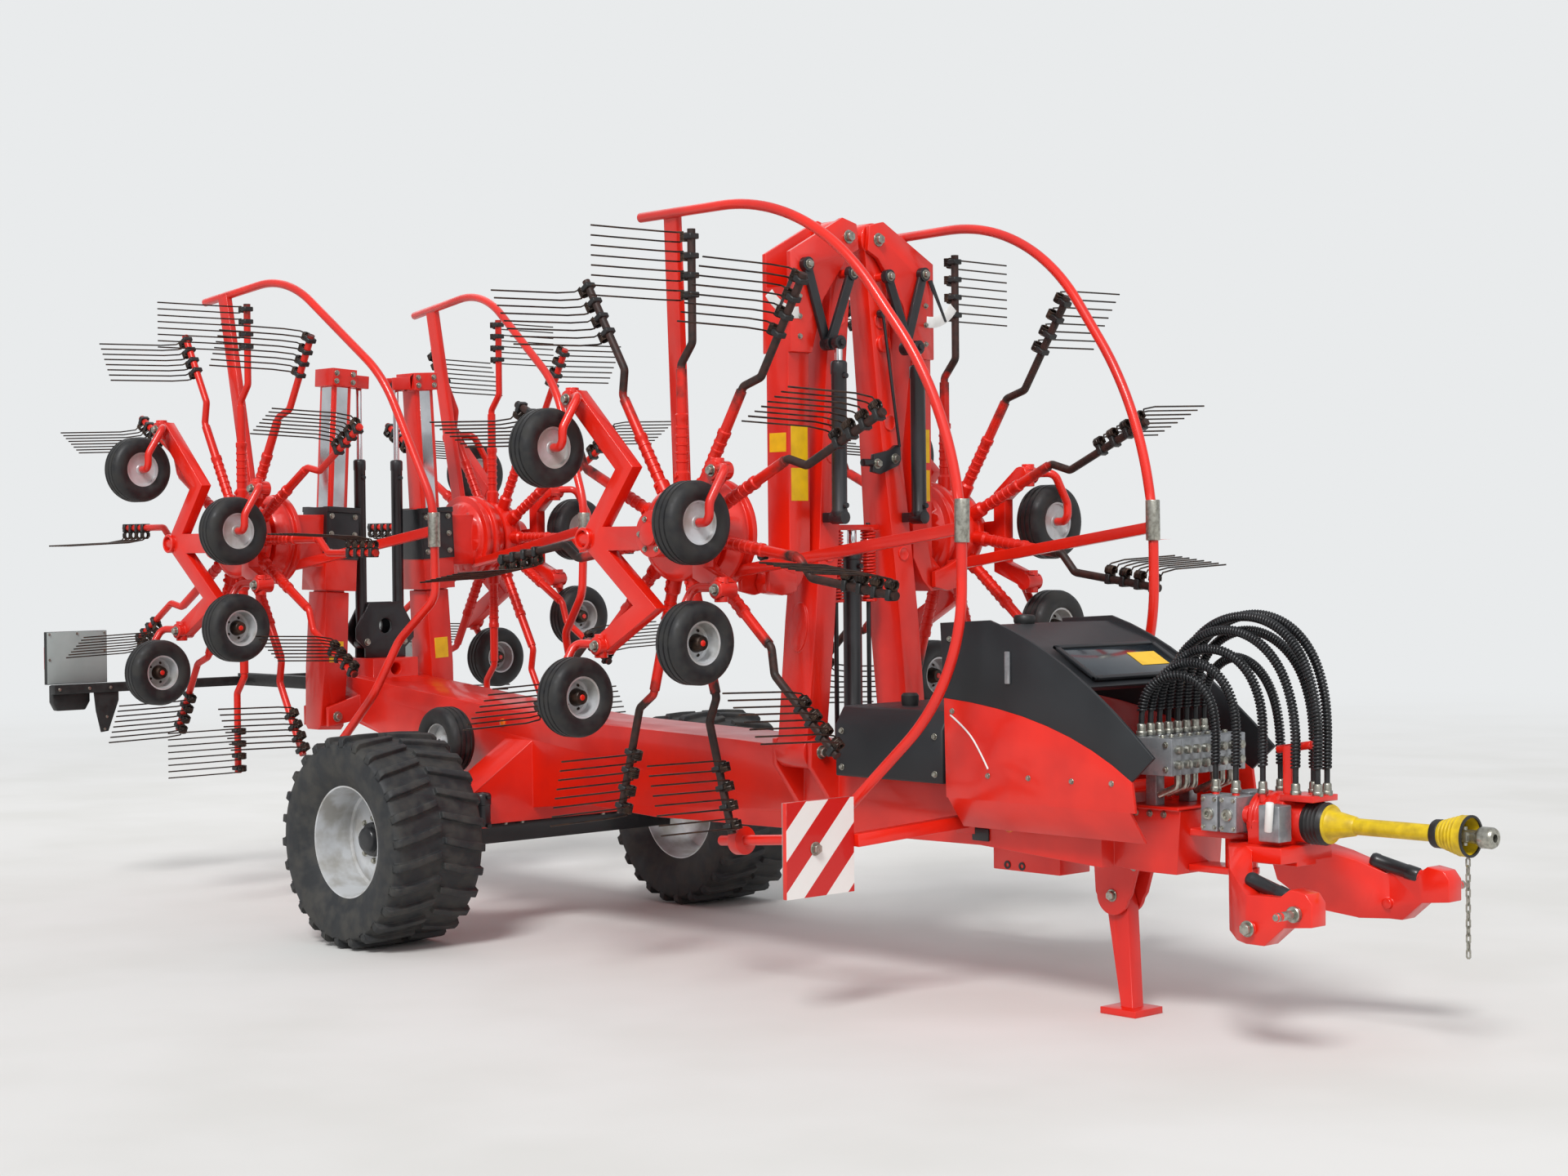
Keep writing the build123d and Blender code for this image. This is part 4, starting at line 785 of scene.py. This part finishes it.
def makeFrontArm(side, sign):
    name = f"front_{side}_"
    innerBody, outerBody, rodBody = [bodyOf(name + node) for node in ("inner_arm", "outer_arm", "fold_rod")]
    arm, face, cheek = frontArm["x"], frontArm["face"], frontArm["cheek"]
    for number, (low, high) in enumerate(((2.612, 2.786), (2.410, 2.574)), 1):
        sticker = flatSticker((face - 0.001, sign * (frontArm["outerIn"] + 0.014), low),
                              (face + 0.0012, sign * (frontArm["outerOut"] - 0.014), high))
        hand(sticker, f"{name}armSticker_{number}", yellowVinyl, outerBody)
    sticker = flatSticker((2.440, sign * (frontArm["outerOut"] - 0.001), 2.655),
                          (2.560, sign * (frontArm["outerOut"] + 0.0012), 2.750))
    hand(sticker, name + "sideSticker", yellowVinyl, outerBody)
    # the white scale beside the link's bolt, with its pointer
    angles = [radians(scaleArc["from"] + scaleArc["sweep"] * step / scaleArc["steps"])
              for step in range(scaleArc["steps"] + 1)]
    outer, inner = [[(sign * (scaleArc["y"] - radius * cos(angle)), scaleArc["z"] + radius * sin(angle))
                     for angle in angles] for radius in (scaleArc["outer"], scaleArc["inner"])]
    hand(plateFrom(outer + inner[::-1], cheek, cheek + 0.003, 0.0006), name + "scale", whiteVinyl, outerBody)
    pointer = [(sign * y, z) for y, z in ((0.500, 3.568), (0.470, 3.560), (0.596, 3.352), (0.610, 3.356))]
    hand(plateFrom(pointer, cheek + 0.0035, cheek + 0.0075, 0.001), name + "pointer", blackEnamel, outerBody)
    # boss rings, at their shares of the way from the knee down to the foot
    kneeY, kneeZ, liftY, liftZ = [frontArm[place] for place in ("kneeY", "kneeZ", "liftY", "liftZ")]
    rings = [lathed([(0, 0), (0, size), (0.006, size), (0.008, size - 0.004), (0.004, size - 0.010), (0.004, 0)],
                    (x, sign * (kneeY + (liftY - kneeY) * share), kneeZ - (kneeZ - liftZ) * share), forwards)
             for share, x, size in ((0.158, 2.5703, 0.042), (0.359, 2.5791, 0.042), (0.620, 2.6056, 0.036))]
    hand(rings, name + "bosses", redEnamel, innerBody)
    # black links with their eyes and bolts
    for link, x, y, z, body in (("innerLink", 2.6345, 0.132, 3.560, innerBody),
                                ("outerLink", 2.6085, 0.420, 3.590, outerBody)):
        low, high = Vector((x, sign * y, z)), Vector((x, sign * 0.285, 3.200))
        run = (high - low).normalized()
        across = Vector((0, -run.z, run.y)) * 0.0265
        corners = [low - run * 0.02 + across, low - run * 0.02 - across, high + run * 0.02 - across,
                   high + run * 0.02 + across]
        bar = plateFrom([(point.y, point.z) for point in corners], x, x + 0.023, 0.004)
        eyes = [roundRod(spot - forwards * 0.004, spot + forwards * 0.032, 0.036) for spot in (low, high)]
        hand([bar] + eyes, name + link, blackEnamel, body)
        # the inner link's upper bolt is hidden behind the cylinder rod, which slides past it
        shown = (low,) if link == "innerLink" else (low, high)
        bolts = boltRow([spot + forwards * 0.032 for spot in shown], forwards, 0.018)
        hand(bolts, f"{name}{link}Bolts", zincPlate, body)
    x, y, eyeY = frontArm["cylinderX"], sign * frontArm["cylinderY"], sign * frontArm["eyeY"]
    hand(cylinderBarrel((x, y, 2.330), (x, sign * 0.284, 3.110), 0.039), name + "barrel", blackEnamel, innerBody,
         replaced=name + "fold_cylinder")
    foot = roundedBlock((2.602, sign * 0.287 - 0.025, 2.300), (2.690, sign * 0.287 + 0.025, 2.350), 0.006)
    hand([foot, roundRod((2.660, y, 2.325), (2.748, y, 2.325), 0.034)], name + "barrelFoot", blackEnamel, innerBody)
    hand(roundRod((x, sign * 0.2875, 2.450), (x, sign * 0.2838, 3.175), 0.020), name + "rod", hardChrome, rodBody,
         replaced=name + "fold_rod")
    hand([roundRod((2.685, eyeY, 3.200), (2.725, eyeY, 3.200), 0.036), boltHead((2.725, eyeY, 3.200), forwards, 0.018)],
         name + "rodEye", blackEnamel, rodBody)
    # pin ends at the knee and the foot, and bolts on the cheeks
    knee = boltPair(arm, 0.1045, sign * kneeY, kneeZ, 0.026)
    knee += boltRow([(arm + 0.1045, sign * 0.455, height) for height in (3.230, 3.330, 3.430)], forwards, 0.011)
    hand(knee, name + "kneeBolts", zincPlate, outerBody)
    hand(boltPair(arm, 0.143, sign * liftY, liftZ, 0.026), name + "liftBolts", zincPlate)


for side, sign in sides:
    makeFrontArm(side, sign)

# lever with two bolts on the left inner arm, and its thin rod
lever = plateFrom([(0.048, 2.560), (0.110, 2.548), (0.245, 2.595), (0.262, 2.625), (0.256, 2.700), (0.226, 2.700),
                   (0.176, 2.672), (0.062, 2.650)], 2.5815, 2.606)
leverRods = [roundRod(*rod) for rod in (((2.594, -0.010, 2.607), (2.594, 0.060, 2.607), 0.020),
                                        ((2.615, 0.240, 2.690), (2.615, 0.128, 3.360), 0.008),
                                        ((2.585, 0.128, 3.372), (2.622, 0.128, 3.372), 0.022))]
leverBody = bodyOf("front_left_inner_arm")
hand([lever] + leverRods, "foldLever", blackEnamel, leverBody)
hand(boltRow([(2.606, 0.085, 2.602), (2.606, 0.215, 2.630)], forwards, 0.020), "foldLeverBolts", zincPlate, leverBody)
print("front arms done")


# Springs and the upright cylinder between the front arms

tension = {"x": 2.500, "y": 0.118, "foot": 1.150, "low": 1.905, "high": 2.262, "turns": 22, "perTurn": 12,
           "radius": 0.036, "wire": 0.0068}


def coilSpring(y):
    steps = tension["turns"] * tension["perTurn"]
    points = []
    for step in range(steps + 1):
        angle = 2 * pi * step / tension["perTurn"]
        points.append((tension["x"] + tension["radius"] * cos(angle), y + tension["radius"] * sin(angle),
                       tension["low"] + (tension["high"] - tension["low"]) * step / steps))
    cups = [roundRod((tension["x"], y, low), (tension["x"], y, low + 0.014), 0.043)
            for low in (tension["low"] - 0.012, tension["high"])]
    return [bentTube(points, tension["wire"], 2, 1)] + cups


def makeSprings():
    x, foot, across = tension["x"], tension["foot"], (-tension["y"], tension["y"])
    head = roundedBlock((2.460, -0.160, 2.262), (2.540, 0.160, 2.290), 0.006)
    hand(coilSpring(across[0]) + coilSpring(across[1]) + [head], "armSprings_coils", redEnamel, replaced="arm_springs")
    rods = [roundRod((x, y, foot), (x, y, 2.30), 0.012) for y in across]
    hand(rods + [cylinderBarrel((x, 0, foot), (x, 0, 2.180), 0.048)], "armSprings_cylinder", blackEnamel)
    hand(roundRod((x, 0, 2.150), (x, 0, 2.275), 0.024), "armSprings_rod", hardChrome)


makeSprings()
print("springs done")


# Rear arms: chromed rails, black carriers and the lift cylinders

rearArm = {"x": -1.750, "foldY": 0.420, "foldZ": 1.150, "lean": 0.0537, "halfX": 0.075, "halfY": 0.065,
           "railLow": 0.780, "railHigh": 2.045, "carrierLow": 0.974, "carrierTop": 1.294, "cylinderY": 0.140}


def makeRearArm(side, sign):
    name = f"rear_{side}_"
    armBody, frameBody = bodyOf(name + "arm"), bodyOf(name + "rotor_frame")
    barrelBody, rodBody = bodyOf(name + "lift_barrel"), bodyOf(name + "lift_rod")
    # the right arm stands upright on its fold pin and leans from there, and the left arm is its mirror image
    lean = Matrix.Translation((rearArm["x"], -rearArm["foldY"], rearArm["foldZ"]))
    lean = lean @ Matrix.Rotation(-atan2(rearArm["lean"], 1), 4, "X")
    lean = mirrorSides @ lean if side == "left" else lean
    halfX, halfY, low, high = rearArm["halfX"], rearArm["halfY"], rearArm["railLow"], rearArm["railHigh"]
    proud = 0.0002    # the chrome stands this far out of the arm's faces
    strips = [roundedBlock((end * (halfX - 0.004), -0.040, low), (end * (halfX + proud), 0.040, high), 0.00008, 1)
              for end in (-1, 1)]
    strips.append(roundedBlock((-0.052, -halfY - proud, low), (0.052, -halfY + 0.004, high), 0.00008, 1))
    hand(strips, name + "railStrips", hardChrome, armBody, move=lean)
    sticker = flatSticker((0.100, -0.050, 0.335), (0.1062, 0.050, 0.465))
    hand(sticker, name + "armSticker", yellowVinyl, armBody, move=lean)
    bolts = boltRow([(0.101, y, z) for y in (-0.060, 0.060) for z in (2.080, 2.130)], forwards, 0.013)
    hand(bolts, name + "capBolts", zincPlate, armBody, move=lean)
    low, high = rearArm["carrierLow"], rearArm["carrierTop"]
    shell = []
    for end in (-1, 1):
        shell += [roundedBlock((end * 0.126, -0.119, low), (end * 0.136, 0.119, high), 0.003),
                  roundedBlock((-0.136, end * 0.111, low), (0.136, end * 0.121, high), 0.003),
                  roundedBlock((end * 0.080, -0.119, high - 0.030), (end * 0.150, 0.119, high + 0.004))]
    hand(shell, name + "carrierShell", blackEnamel, frameBody, move=lean)
    bolts = boltRow([(0.136, y, z) for y in (-0.085, 0.085) for z in (1.020, 1.130, 1.240)], forwards, 0.013)
    hand(bolts, name + "carrierBolts", zincPlate, frameBody, move=lean)
    x, y = rearArm["x"], sign * rearArm["cylinderY"]
    eye = roundRod((x - 0.030, y, 1.600), (x + 0.030, y, 1.600), 0.042)
    hand([cylinderBarrel((x, y, 1.600), (x, y, 2.750), 0.036), eye], name + "barrel", blackEnamel, barrelBody,
         replaced=name + "lift_barrel")
    hand(roundRod((x, y, 1.720), (x, y, 3.200), 0.018), name + "rod", hardChrome, rodBody, replaced=name + "lift_rod")
    hand(roundRod((x - 0.019, y, 3.225), (x + 0.019, y, 3.225), 0.030), name + "rodEye", blackEnamel, rodBody)
    pins = boltPair(x, 0.0625, y, 1.600, 0.017) + boltPair(x, 0.140, sign * rearArm["foldY"], rearArm["foldZ"], 0.024)
    hand(pins, name + "pinEnds", zincPlate)


for side, sign in sides:
    makeRearArm(side, sign)
print("rear arms done")


# Rotor fittings: a silver collar where each hoop turns on its stay, caps on the knuckles, the hub cap and a boss

fittings = {"frontCollar": ((3.910, 0.692, 2.195), (3.910, 0.690, 2.395)),
            "rearCollar": ((-0.378, 0.556, 2.195), (-0.377, 0.558, 2.395)),
            "knuckles": ((-0.650, 0.690), (0.450, 0.300), (0.470, -0.270), (-0.440, -0.560)), "face": 1.120,
            "capCircle": 0.085, "capBolts": 6}


def makeRotorFittings(place, side, sign):
    name = f"{place}_{side}_"
    body, outward = bodyOf(name + "rotor_frame"), (0, sign, 0)
    low, high = [(x, sign * y, z) for x, y, z in fittings[place + "Collar"]]
    hand(roundRod(low, high, 0.0355, 0.004), name + "hoopCollar", zincPlate, body)
    centreX, _, centreZ = rotors[place]["centre"]
    face = fittings["face"]
    caps = boltRow([(centreX + along, sign * (face + 0.040), centreZ + up) for along, up in fittings["knuckles"]],
                   outward, 0.022)
    hub = Vector((centreX, sign * (face + 0.0405), centreZ))
    circle = aroundCircle(fittings["capBolts"], fittings["capCircle"])
    caps += boltRow([hub + Vector((along, 0, up)) for along, up in circle], outward, 0.011)
    hand(caps, name + "chassisBolts", zincPlate, body)
    boss = (centreX - 0.560, sign * (face - 0.020), centreZ - 0.020)
    cap = [(0, 0), (0, 0.052), (0.010, 0.060), (0.024, 0.056), (0.032, 0.030), (0.034, 0)]
    ring = [(0, 0.030), (0, 0.058), (0.040, 0.058), (0.044, 0.054), (0.044, 0.044), (0.010, 0.042), (0.010, 0.030)]
    end = [(0.008, 0), (0.008, 0.0435), (0.022, 0.0435), (0.022, 0)]
    for profile, spot, part, material in ((cap, hub, "hubCap", redEnamel), (ring, boss, "bossRing", redEnamel),
                                          (end, boss, "bossEnd", springSteel)):
        hand(lathed(profile, spot, outward), name + part, material, body)


for place in rotors:
    for side, sign in sides:
        makeRotorFittings(place, side, sign)
print("rotor fittings done")


# Hood, tank and valve bank

hood = {"face": 0.4505, "windowMiddle": (4.280, 0, 1.627), "windowSlope": (0.260, 0, -0.150)}


def makeHoodParts():
    # the window in the sloping front with its frame, its parts measured from the window's middle
    slope = Vector(hood["windowSlope"]).normalized()
    up = Vector((-slope.z, 0, slope.x))
    turn = Matrix((slope, (0, 1, 0), up)).transposed().to_4x4()
    frameBars = []
    for end in (-1, 1):
        frameBars += [roundedBlock((end * 0.120, -0.360, 0), (end * 0.145, 0.360, 0.016)),
                      roundedBlock((-0.145, end * 0.330, 0), (0.145, end * 0.360, 0.016))]
    glass = roundedBlock((-0.120, -0.330, 0), (0.120, 0.330, 0.006), 0.002)
    sticker = flatSticker((-0.060, 0.080, 0), (0.050, 0.280, 0.0016))
    for parts, name, material, lift in ((glass, "window", darkGlass, 0.010), (sticker, "sticker", yellowVinyl, 0.0165),
                                        (frameBars, "windowFrame", hoodPlastic, 0.009)):
        hand(parts, "hood_" + name, material,
             move=Matrix.Translation(Vector(hood["windowMiddle"]) + up * lift) @ turn)
    filler = lathed([(0, 0), (0, 0.048), (0.012, 0.052), (0.030, 0.052), (0.040, 0.046), (0.044, 0.020), (0.044, 0)],
                    (3.780, -0.120, 1.806), upwards)
    hand(filler, "hood_fillerCap", guardBlack)
    gauge = roundedBlock((3.955, -hood["face"], 1.540), (3.985, -hood["face"] - 0.012, 1.690))
    hand(gauge, "hood_levelGauge", castAluminium)
    for side, sign in sides:
        face = sign * hood["face"]
        trim = ((3.603, 1.381), (3.708, 1.318), (3.787, 1.224), (3.839, 1.139))
        hand(bentTube([(x, face, z) for x, z in trim], 0.0045, 2, 6), f"hood_{side}_trimLine", whiteVinyl)
        places = ((3.838, 1.107), (4.087, 1.111), (4.346, 1.112), (4.578, 1.116), (3.615, 1.400), (3.600, 1.560),
                  (3.600, 1.740))
        hand(boltRow([(x, face, z) for x, z in places], (0, sign, 0), 0.010), f"hood_{side}_bolts", zincPlate)


def makeTankParts():
    places = [(3.521, y, z) for y in (-0.370, 0.370) for z in (1.090, 1.270)]
    hand(boltRow(places, forwards), "tank_bolts", zincPlate)
    places = [(x, -0.4205, z) for x in (2.840, 3.470) for z in (1.090, 1.270)]
    hand(boltRow(places, (0, -1, 0)), "tank_sideBolts", zincPlate)
    breather = lathed([(0, 0), (0, 0.040), (0.025, 0.044), (0.050, 0.044), (0.062, 0.034), (0.062, 0)],
                      (3.050, -0.150, 1.3895), upwards)
    hand(breather, "tank_breather", guardBlack)


valves = {"slices": 8, "firstY": -0.228, "pitch": 0.065, "endY": 0.258}


def hoseFitting(place):
    # swaged ferrule and hexagon nut at a hose's end, upright
    sleeve = [(0.012, 0.018), (0.014, 0.020), (0.052, 0.020), (0.058, 0.0172), (0.060, 0.0135), (0.012, 0.0135)]
    return [boltHead(place, upwards, 0.025, washer=False), lathed(sleeve, place, upwards, 20)]


def makeValveParts():
    slices, nuts = [], []
    knob = [(0, 0), (0, 0.019), (0.006, 0.021), (0.022, 0.019), (0.026, 0.012), (0.026, 0)]
    for number in range(valves["slices"]):
        y = valves["firstY"] + number * valves["pitch"]
        slices.append(roundedBlock((4.508, y - 0.029, 1.148), (4.772, y + 0.029, 1.3115), 0.005))
        nuts += [lathed(knob, (4.772, y, z), forwards, 16) for z in (1.195, 1.262)]
        nuts.append(boltHead((4.690, y, 1.3115), upwards))
        nuts += hoseFitting((4.570, y, 1.312))
    nuts += boltRow([(x, -0.2705, z) for z in (1.175, 1.285) for x in (4.540, 4.740)], (0, -1, 0), 0.011)
    ends = [roundedBlock((4.506, y - 0.012, 1.146), (4.774, y + 0.012, 1.314))
            for y in (-valves["endY"], valves["endY"])]
    elbows = [sharpTube([(4.745, y, 1.155), (4.745, y, 1.095), (4.640, y, 1.052)], 0.016, 3)
              for y in (-0.190, -0.130, -0.070, 0.070, 0.130, 0.190)]
    for parts, name, material in ((slices, "slices", castAluminium), (ends, "endPlates", castAluminium),
                                  (elbows, "elbows", zincPlate), (nuts, "fittings", zincPlate)):
        hand(parts, "valves_" + name, material)


makeHoodParts()
makeTankParts()
makeValveParts()
print("hood done")


# Hitch: pumps, gearbox bolts, ports and the pins of the yoke

hitch = {"gearbox": (5.2665, 0, 0.960), "boltCircle": 0.108, "bolts": 10, "clearZ": 0.870, "swivel": (4.950, 0),
         "pin": (5.640, 0.650)}


def makeHitchParts():
    blocks, steel = [], []
    for side, sign in sides:
        outward = (0, sign, 0)
        for low, high in ((4.868, 4.958), (4.970, 5.060)):
            blocks.append(roundedBlock((low, sign * 0.050, 0.908), (high, sign * 0.188, 1.068), 0.006, 3))
            corners = [(x, sign * 0.188, z) for z in (0.926, 1.050) for x in (low + 0.014, high - 0.014)]
            steel += boltRow(corners, outward, 0.008)
            port = [(0, 0), (0, 0.026), (0.008, 0.028), (0.014, 0.024), (0.014, 0.014), (0.004, 0.012), (0.004, 0)]
            steel.append(lathed(port, ((low + high) / 2, sign * 0.188, 0.985), outward, 24))
        pinX, pinZ = hitch["pin"]
        pin = [(0, 0), (0, 0.0188), (0.100, 0.0188), (0.104, 0.0165), (0.112, 0.0165), (0.116, 0.0188), (0.132, 0.0188),
               (0.138, 0.014), (0.138, 0)]
        steel.append(lathed(pin, (pinX, sign * 0.5625, pinZ), outward, 24))
        steel.append(boltHead((5.412, sign * 0.5825, 0.569), outward, 0.026))
        bush = lathed([(0, 0.019), (0, 0.034), (0.020, 0.034), (0.024, 0.030), (0.024, 0.019)],
                      (pinX, sign * 0.5625, pinZ), outward)
        hand(bush, f"hitch_{side}_bush", zincPlate, "hitch")
        lock = cylinderBarrel((5.330, sign * 0.455, 0.760), (5.560, sign * 0.485, 0.700), 0.0315)
        hand(lock, f"hitch_{side}_lockCylinder", blackEnamel, "hitch")
    blocks.append(roundedBlock((5.183, -0.192, 0.883), (5.292, -0.098, 1.042), 0.006, 3))
    hand(blocks, "hitch_pumps", castAluminium, "hitch")
    for length, route in hoses:
        steel += hoseFitting(Vector(route[-1]) - upwards * 0.045)
    x, _, high = hitch["gearbox"]
    circle = [(x, y, high + z) for y, z in aroundCircle(hitch["bolts"], hitch["boltCircle"])]
    steel += boltRow([place for place in circle if place[2] > hitch["clearZ"]], forwards, 0.010)
    hand(steel, "hitch_fittings", zincPlate, "hitch")
    bowl = roundRod((5.245, -0.205, 0.930), (5.262, -0.215, 1.060), 0.018, 0.005)
    hand(bowl, "hitch_filterBowl", whiteVinyl, "hitch")
    cap = lathed([(0, 0), (0, 0.050), (0.014, 0.050), (0.018, 0.044), (0.018, 0)], (*hitch["swivel"], 0.896), upwards)
    hand([cap, boltHead((*hitch["swivel"], 0.912), upwards, 0.022)], "frame_swivelCap", zincPlate)


makeHitchParts()
print("hitch done")


# Frame: bolts, reflectors, the stand's pin and the axle's cylinders

def makeFrameParts():
    bolts = []
    for side, sign in sides:
        outward = (0, sign, 0)
        axleBolts = [(x, sign * y, 0.620) for x in (-0.090, 0.090) for y in (0.300, 0.420, 0.540)]
        bolts += boltRow(axleBolts, -upwards, 0.014)
        bolts += boltRow([(x, sign * 0.1605, 0.960) for x in (4.480, 4.560, 4.640)], outward)
        bolts += boltRow([(x, sign * 0.0685, 0.690) for x in (4.180, 4.390)], outward)
        bolts.append(boltHead((4.260, sign * 0.0685, 0.550), outward, 0.022))
        lenses = [lathed([(0, 0), (0, size), (0.004, size), (0.009, size * 0.9), (0.012, size * 0.5), (0.012, 0)],
                         (x, sign * 0.2502, z), outward)
                  for x, z, size in ((3.791, 0.863, 0.040), (-0.144, 1.168, 0.024))]
        hand(lenses, f"frame_{side}_reflectors", amberLens)
        cylinder = cylinderBarrel((0.168, sign * 0.640, 0.612), (0.168, sign * 0.640, 0.808), 0.0475)
        hand(cylinder, f"axle_{side}_cylinder", blackEnamel)
    hand(bolts, "frame_bolts", zincPlate)
    holes = [lathed([(0, 0.010), (0, 0.020), (0.003, 0.020), (0.003, 0.010)], (x, -0.110, 0.645), (0, -1, 0), 24)
             for x in (3.651, 3.744)]
    hand(holes, "frame_boxHoles", blackEnamel)
    hand(roundedBlock((3.560, -0.262, 0.770), (3.665, -0.2495, 0.830)), "frame_plugPlate", blackEnamel)


makeFrameParts()
print("frame done")


# Floor, light and camera

studio = {"floorSize": 120.0, "floorTone": "#DAD9D6", "stainTone": "#D4D3CF", "fadeStart": 8.0, "fadeEnd": 26.0,
          "skyTone": "#E9EBEC", "worldTone": "#F4F6FA", "worldStrength": 0.62, "sunStrength": 2.3, "sunSoftness": 0.30,
          "sunAhead": (-5.0, 8.0, -9.5), "lampPower": 150.0, "lampSize": 8.0, "lampAim": (0, 0, 1.6)}
view = {"place": (11.961, -9.393, 2.206), "yaw": 2.38614, "pitch": -0.01786, "roll": 0.00966,
        "focalPixels": 3173.2, "frameWidth": 1920, "sensor": 36.0}


def makeFloor():
    bpy.ops.mesh.primitive_plane_add(size=studio["floorSize"])
    floor = bpy.context.object
    floor.name = "floor"
    material, tree = newMaterial("paleFloor")
    stain = addNode(tree, "ShaderNodeMix", {0: patchesOf(tree, 1.5), 6: studio["floorTone"], 7: studio["stainTone"]},
                    data_type="RGBA")
    shader = addNode(tree, "ShaderNodeBsdfPrincipled", {"Base Color": stain.outputs[2], "Roughness": 0.9})
    # far from the machine the floor takes the backdrop's tone, for the camera only
    place = addNode(tree, "ShaderNodeTexCoord")
    reach = addNode(tree, "ShaderNodeVectorMath", {0: place.outputs["Object"]}, operation="LENGTH")
    away = addNode(tree, "ShaderNodeMapRange", {"Value": reach.outputs["Value"], "From Min": studio["fadeStart"],
                                                "From Max": studio["fadeEnd"]}, interpolation_type="SMOOTHSTEP")
    path = addNode(tree, "ShaderNodeLightPath")
    shown = addNode(tree, "ShaderNodeMath", {0: away.outputs["Result"], 1: path.outputs["Is Camera Ray"]},
                    operation="MULTIPLY")
    tone = addNode(tree, "ShaderNodeEmission", {"Color": studio["skyTone"]})
    mix = addNode(tree, "ShaderNodeMixShader", {0: shown.outputs[0], 1: shader.outputs[0], 2: tone.outputs[0]})
    addNode(tree, "ShaderNodeOutputMaterial", {"Surface": mix.outputs[0]})
    floor.data.materials.append(material)


def makeLight():
    scene.world = scene.world or bpy.data.worlds.new("studio")
    scene.world.use_nodes = True
    tree = scene.world.node_tree
    tree.nodes.clear()
    path = addNode(tree, "ShaderNodeLightPath")
    seen = addNode(tree, "ShaderNodeBackground", {"Color": studio["skyTone"], "Strength": 1.0})
    lit = addNode(tree, "ShaderNodeBackground", {"Color": studio["worldTone"], "Strength": studio["worldStrength"]})
    mix = addNode(tree, "ShaderNodeMixShader", {0: path.outputs["Is Camera Ray"], 1: lit.outputs[0],
                                                2: seen.outputs[0]})
    addNode(tree, "ShaderNodeOutputWorld", {"Surface": mix.outputs[0]})
    bpy.ops.object.light_add(type="SUN")
    sun = bpy.context.object
    sun.name = "key"
    sun.data.energy = studio["sunStrength"]
    sun.data.angle = studio["sunSoftness"]
    sun.rotation_euler = Vector(studio["sunAhead"]).to_track_quat("-Z", "Y").to_euler()
    for name, spot in (("fill", (10.0, -2.0, 7.0)), ("back", (-9.0, 3.0, 9.0))):
        bpy.ops.object.light_add(type="AREA", location=spot)
        lamp = bpy.context.object
        lamp.name = name
        lamp.data.energy = studio["lampPower"]
        lamp.data.size = studio["lampSize"]
        lamp.rotation_euler = (Vector(studio["lampAim"]) - Vector(spot)).to_track_quat("-Z", "Y").to_euler()


def makeCamera():
    bpy.ops.object.camera_add()
    camera = bpy.context.object
    yaw, pitch, roll = view["yaw"], view["pitch"], view["roll"]
    ahead = Vector((cos(pitch) * cos(yaw), cos(pitch) * sin(yaw), sin(pitch)))
    level = Vector((sin(yaw), -cos(yaw), 0))
    down = ahead.cross(level)
    right = cos(roll) * level + sin(roll) * down
    below = cos(roll) * down - sin(roll) * level
    turn = Matrix((right, -below, -ahead)).transposed()
    camera.matrix_world = toFrame @ Matrix.Translation(view["place"]) @ turn.to_4x4()
    camera.data.sensor_width = view["sensor"]
    camera.data.lens = view["focalPixels"] * view["sensor"] / view["frameWidth"]
    scene.camera = camera


makeFloor()
makeLight()
makeCamera()
scene.view_settings.view_transform = "Standard"
print("studio done")
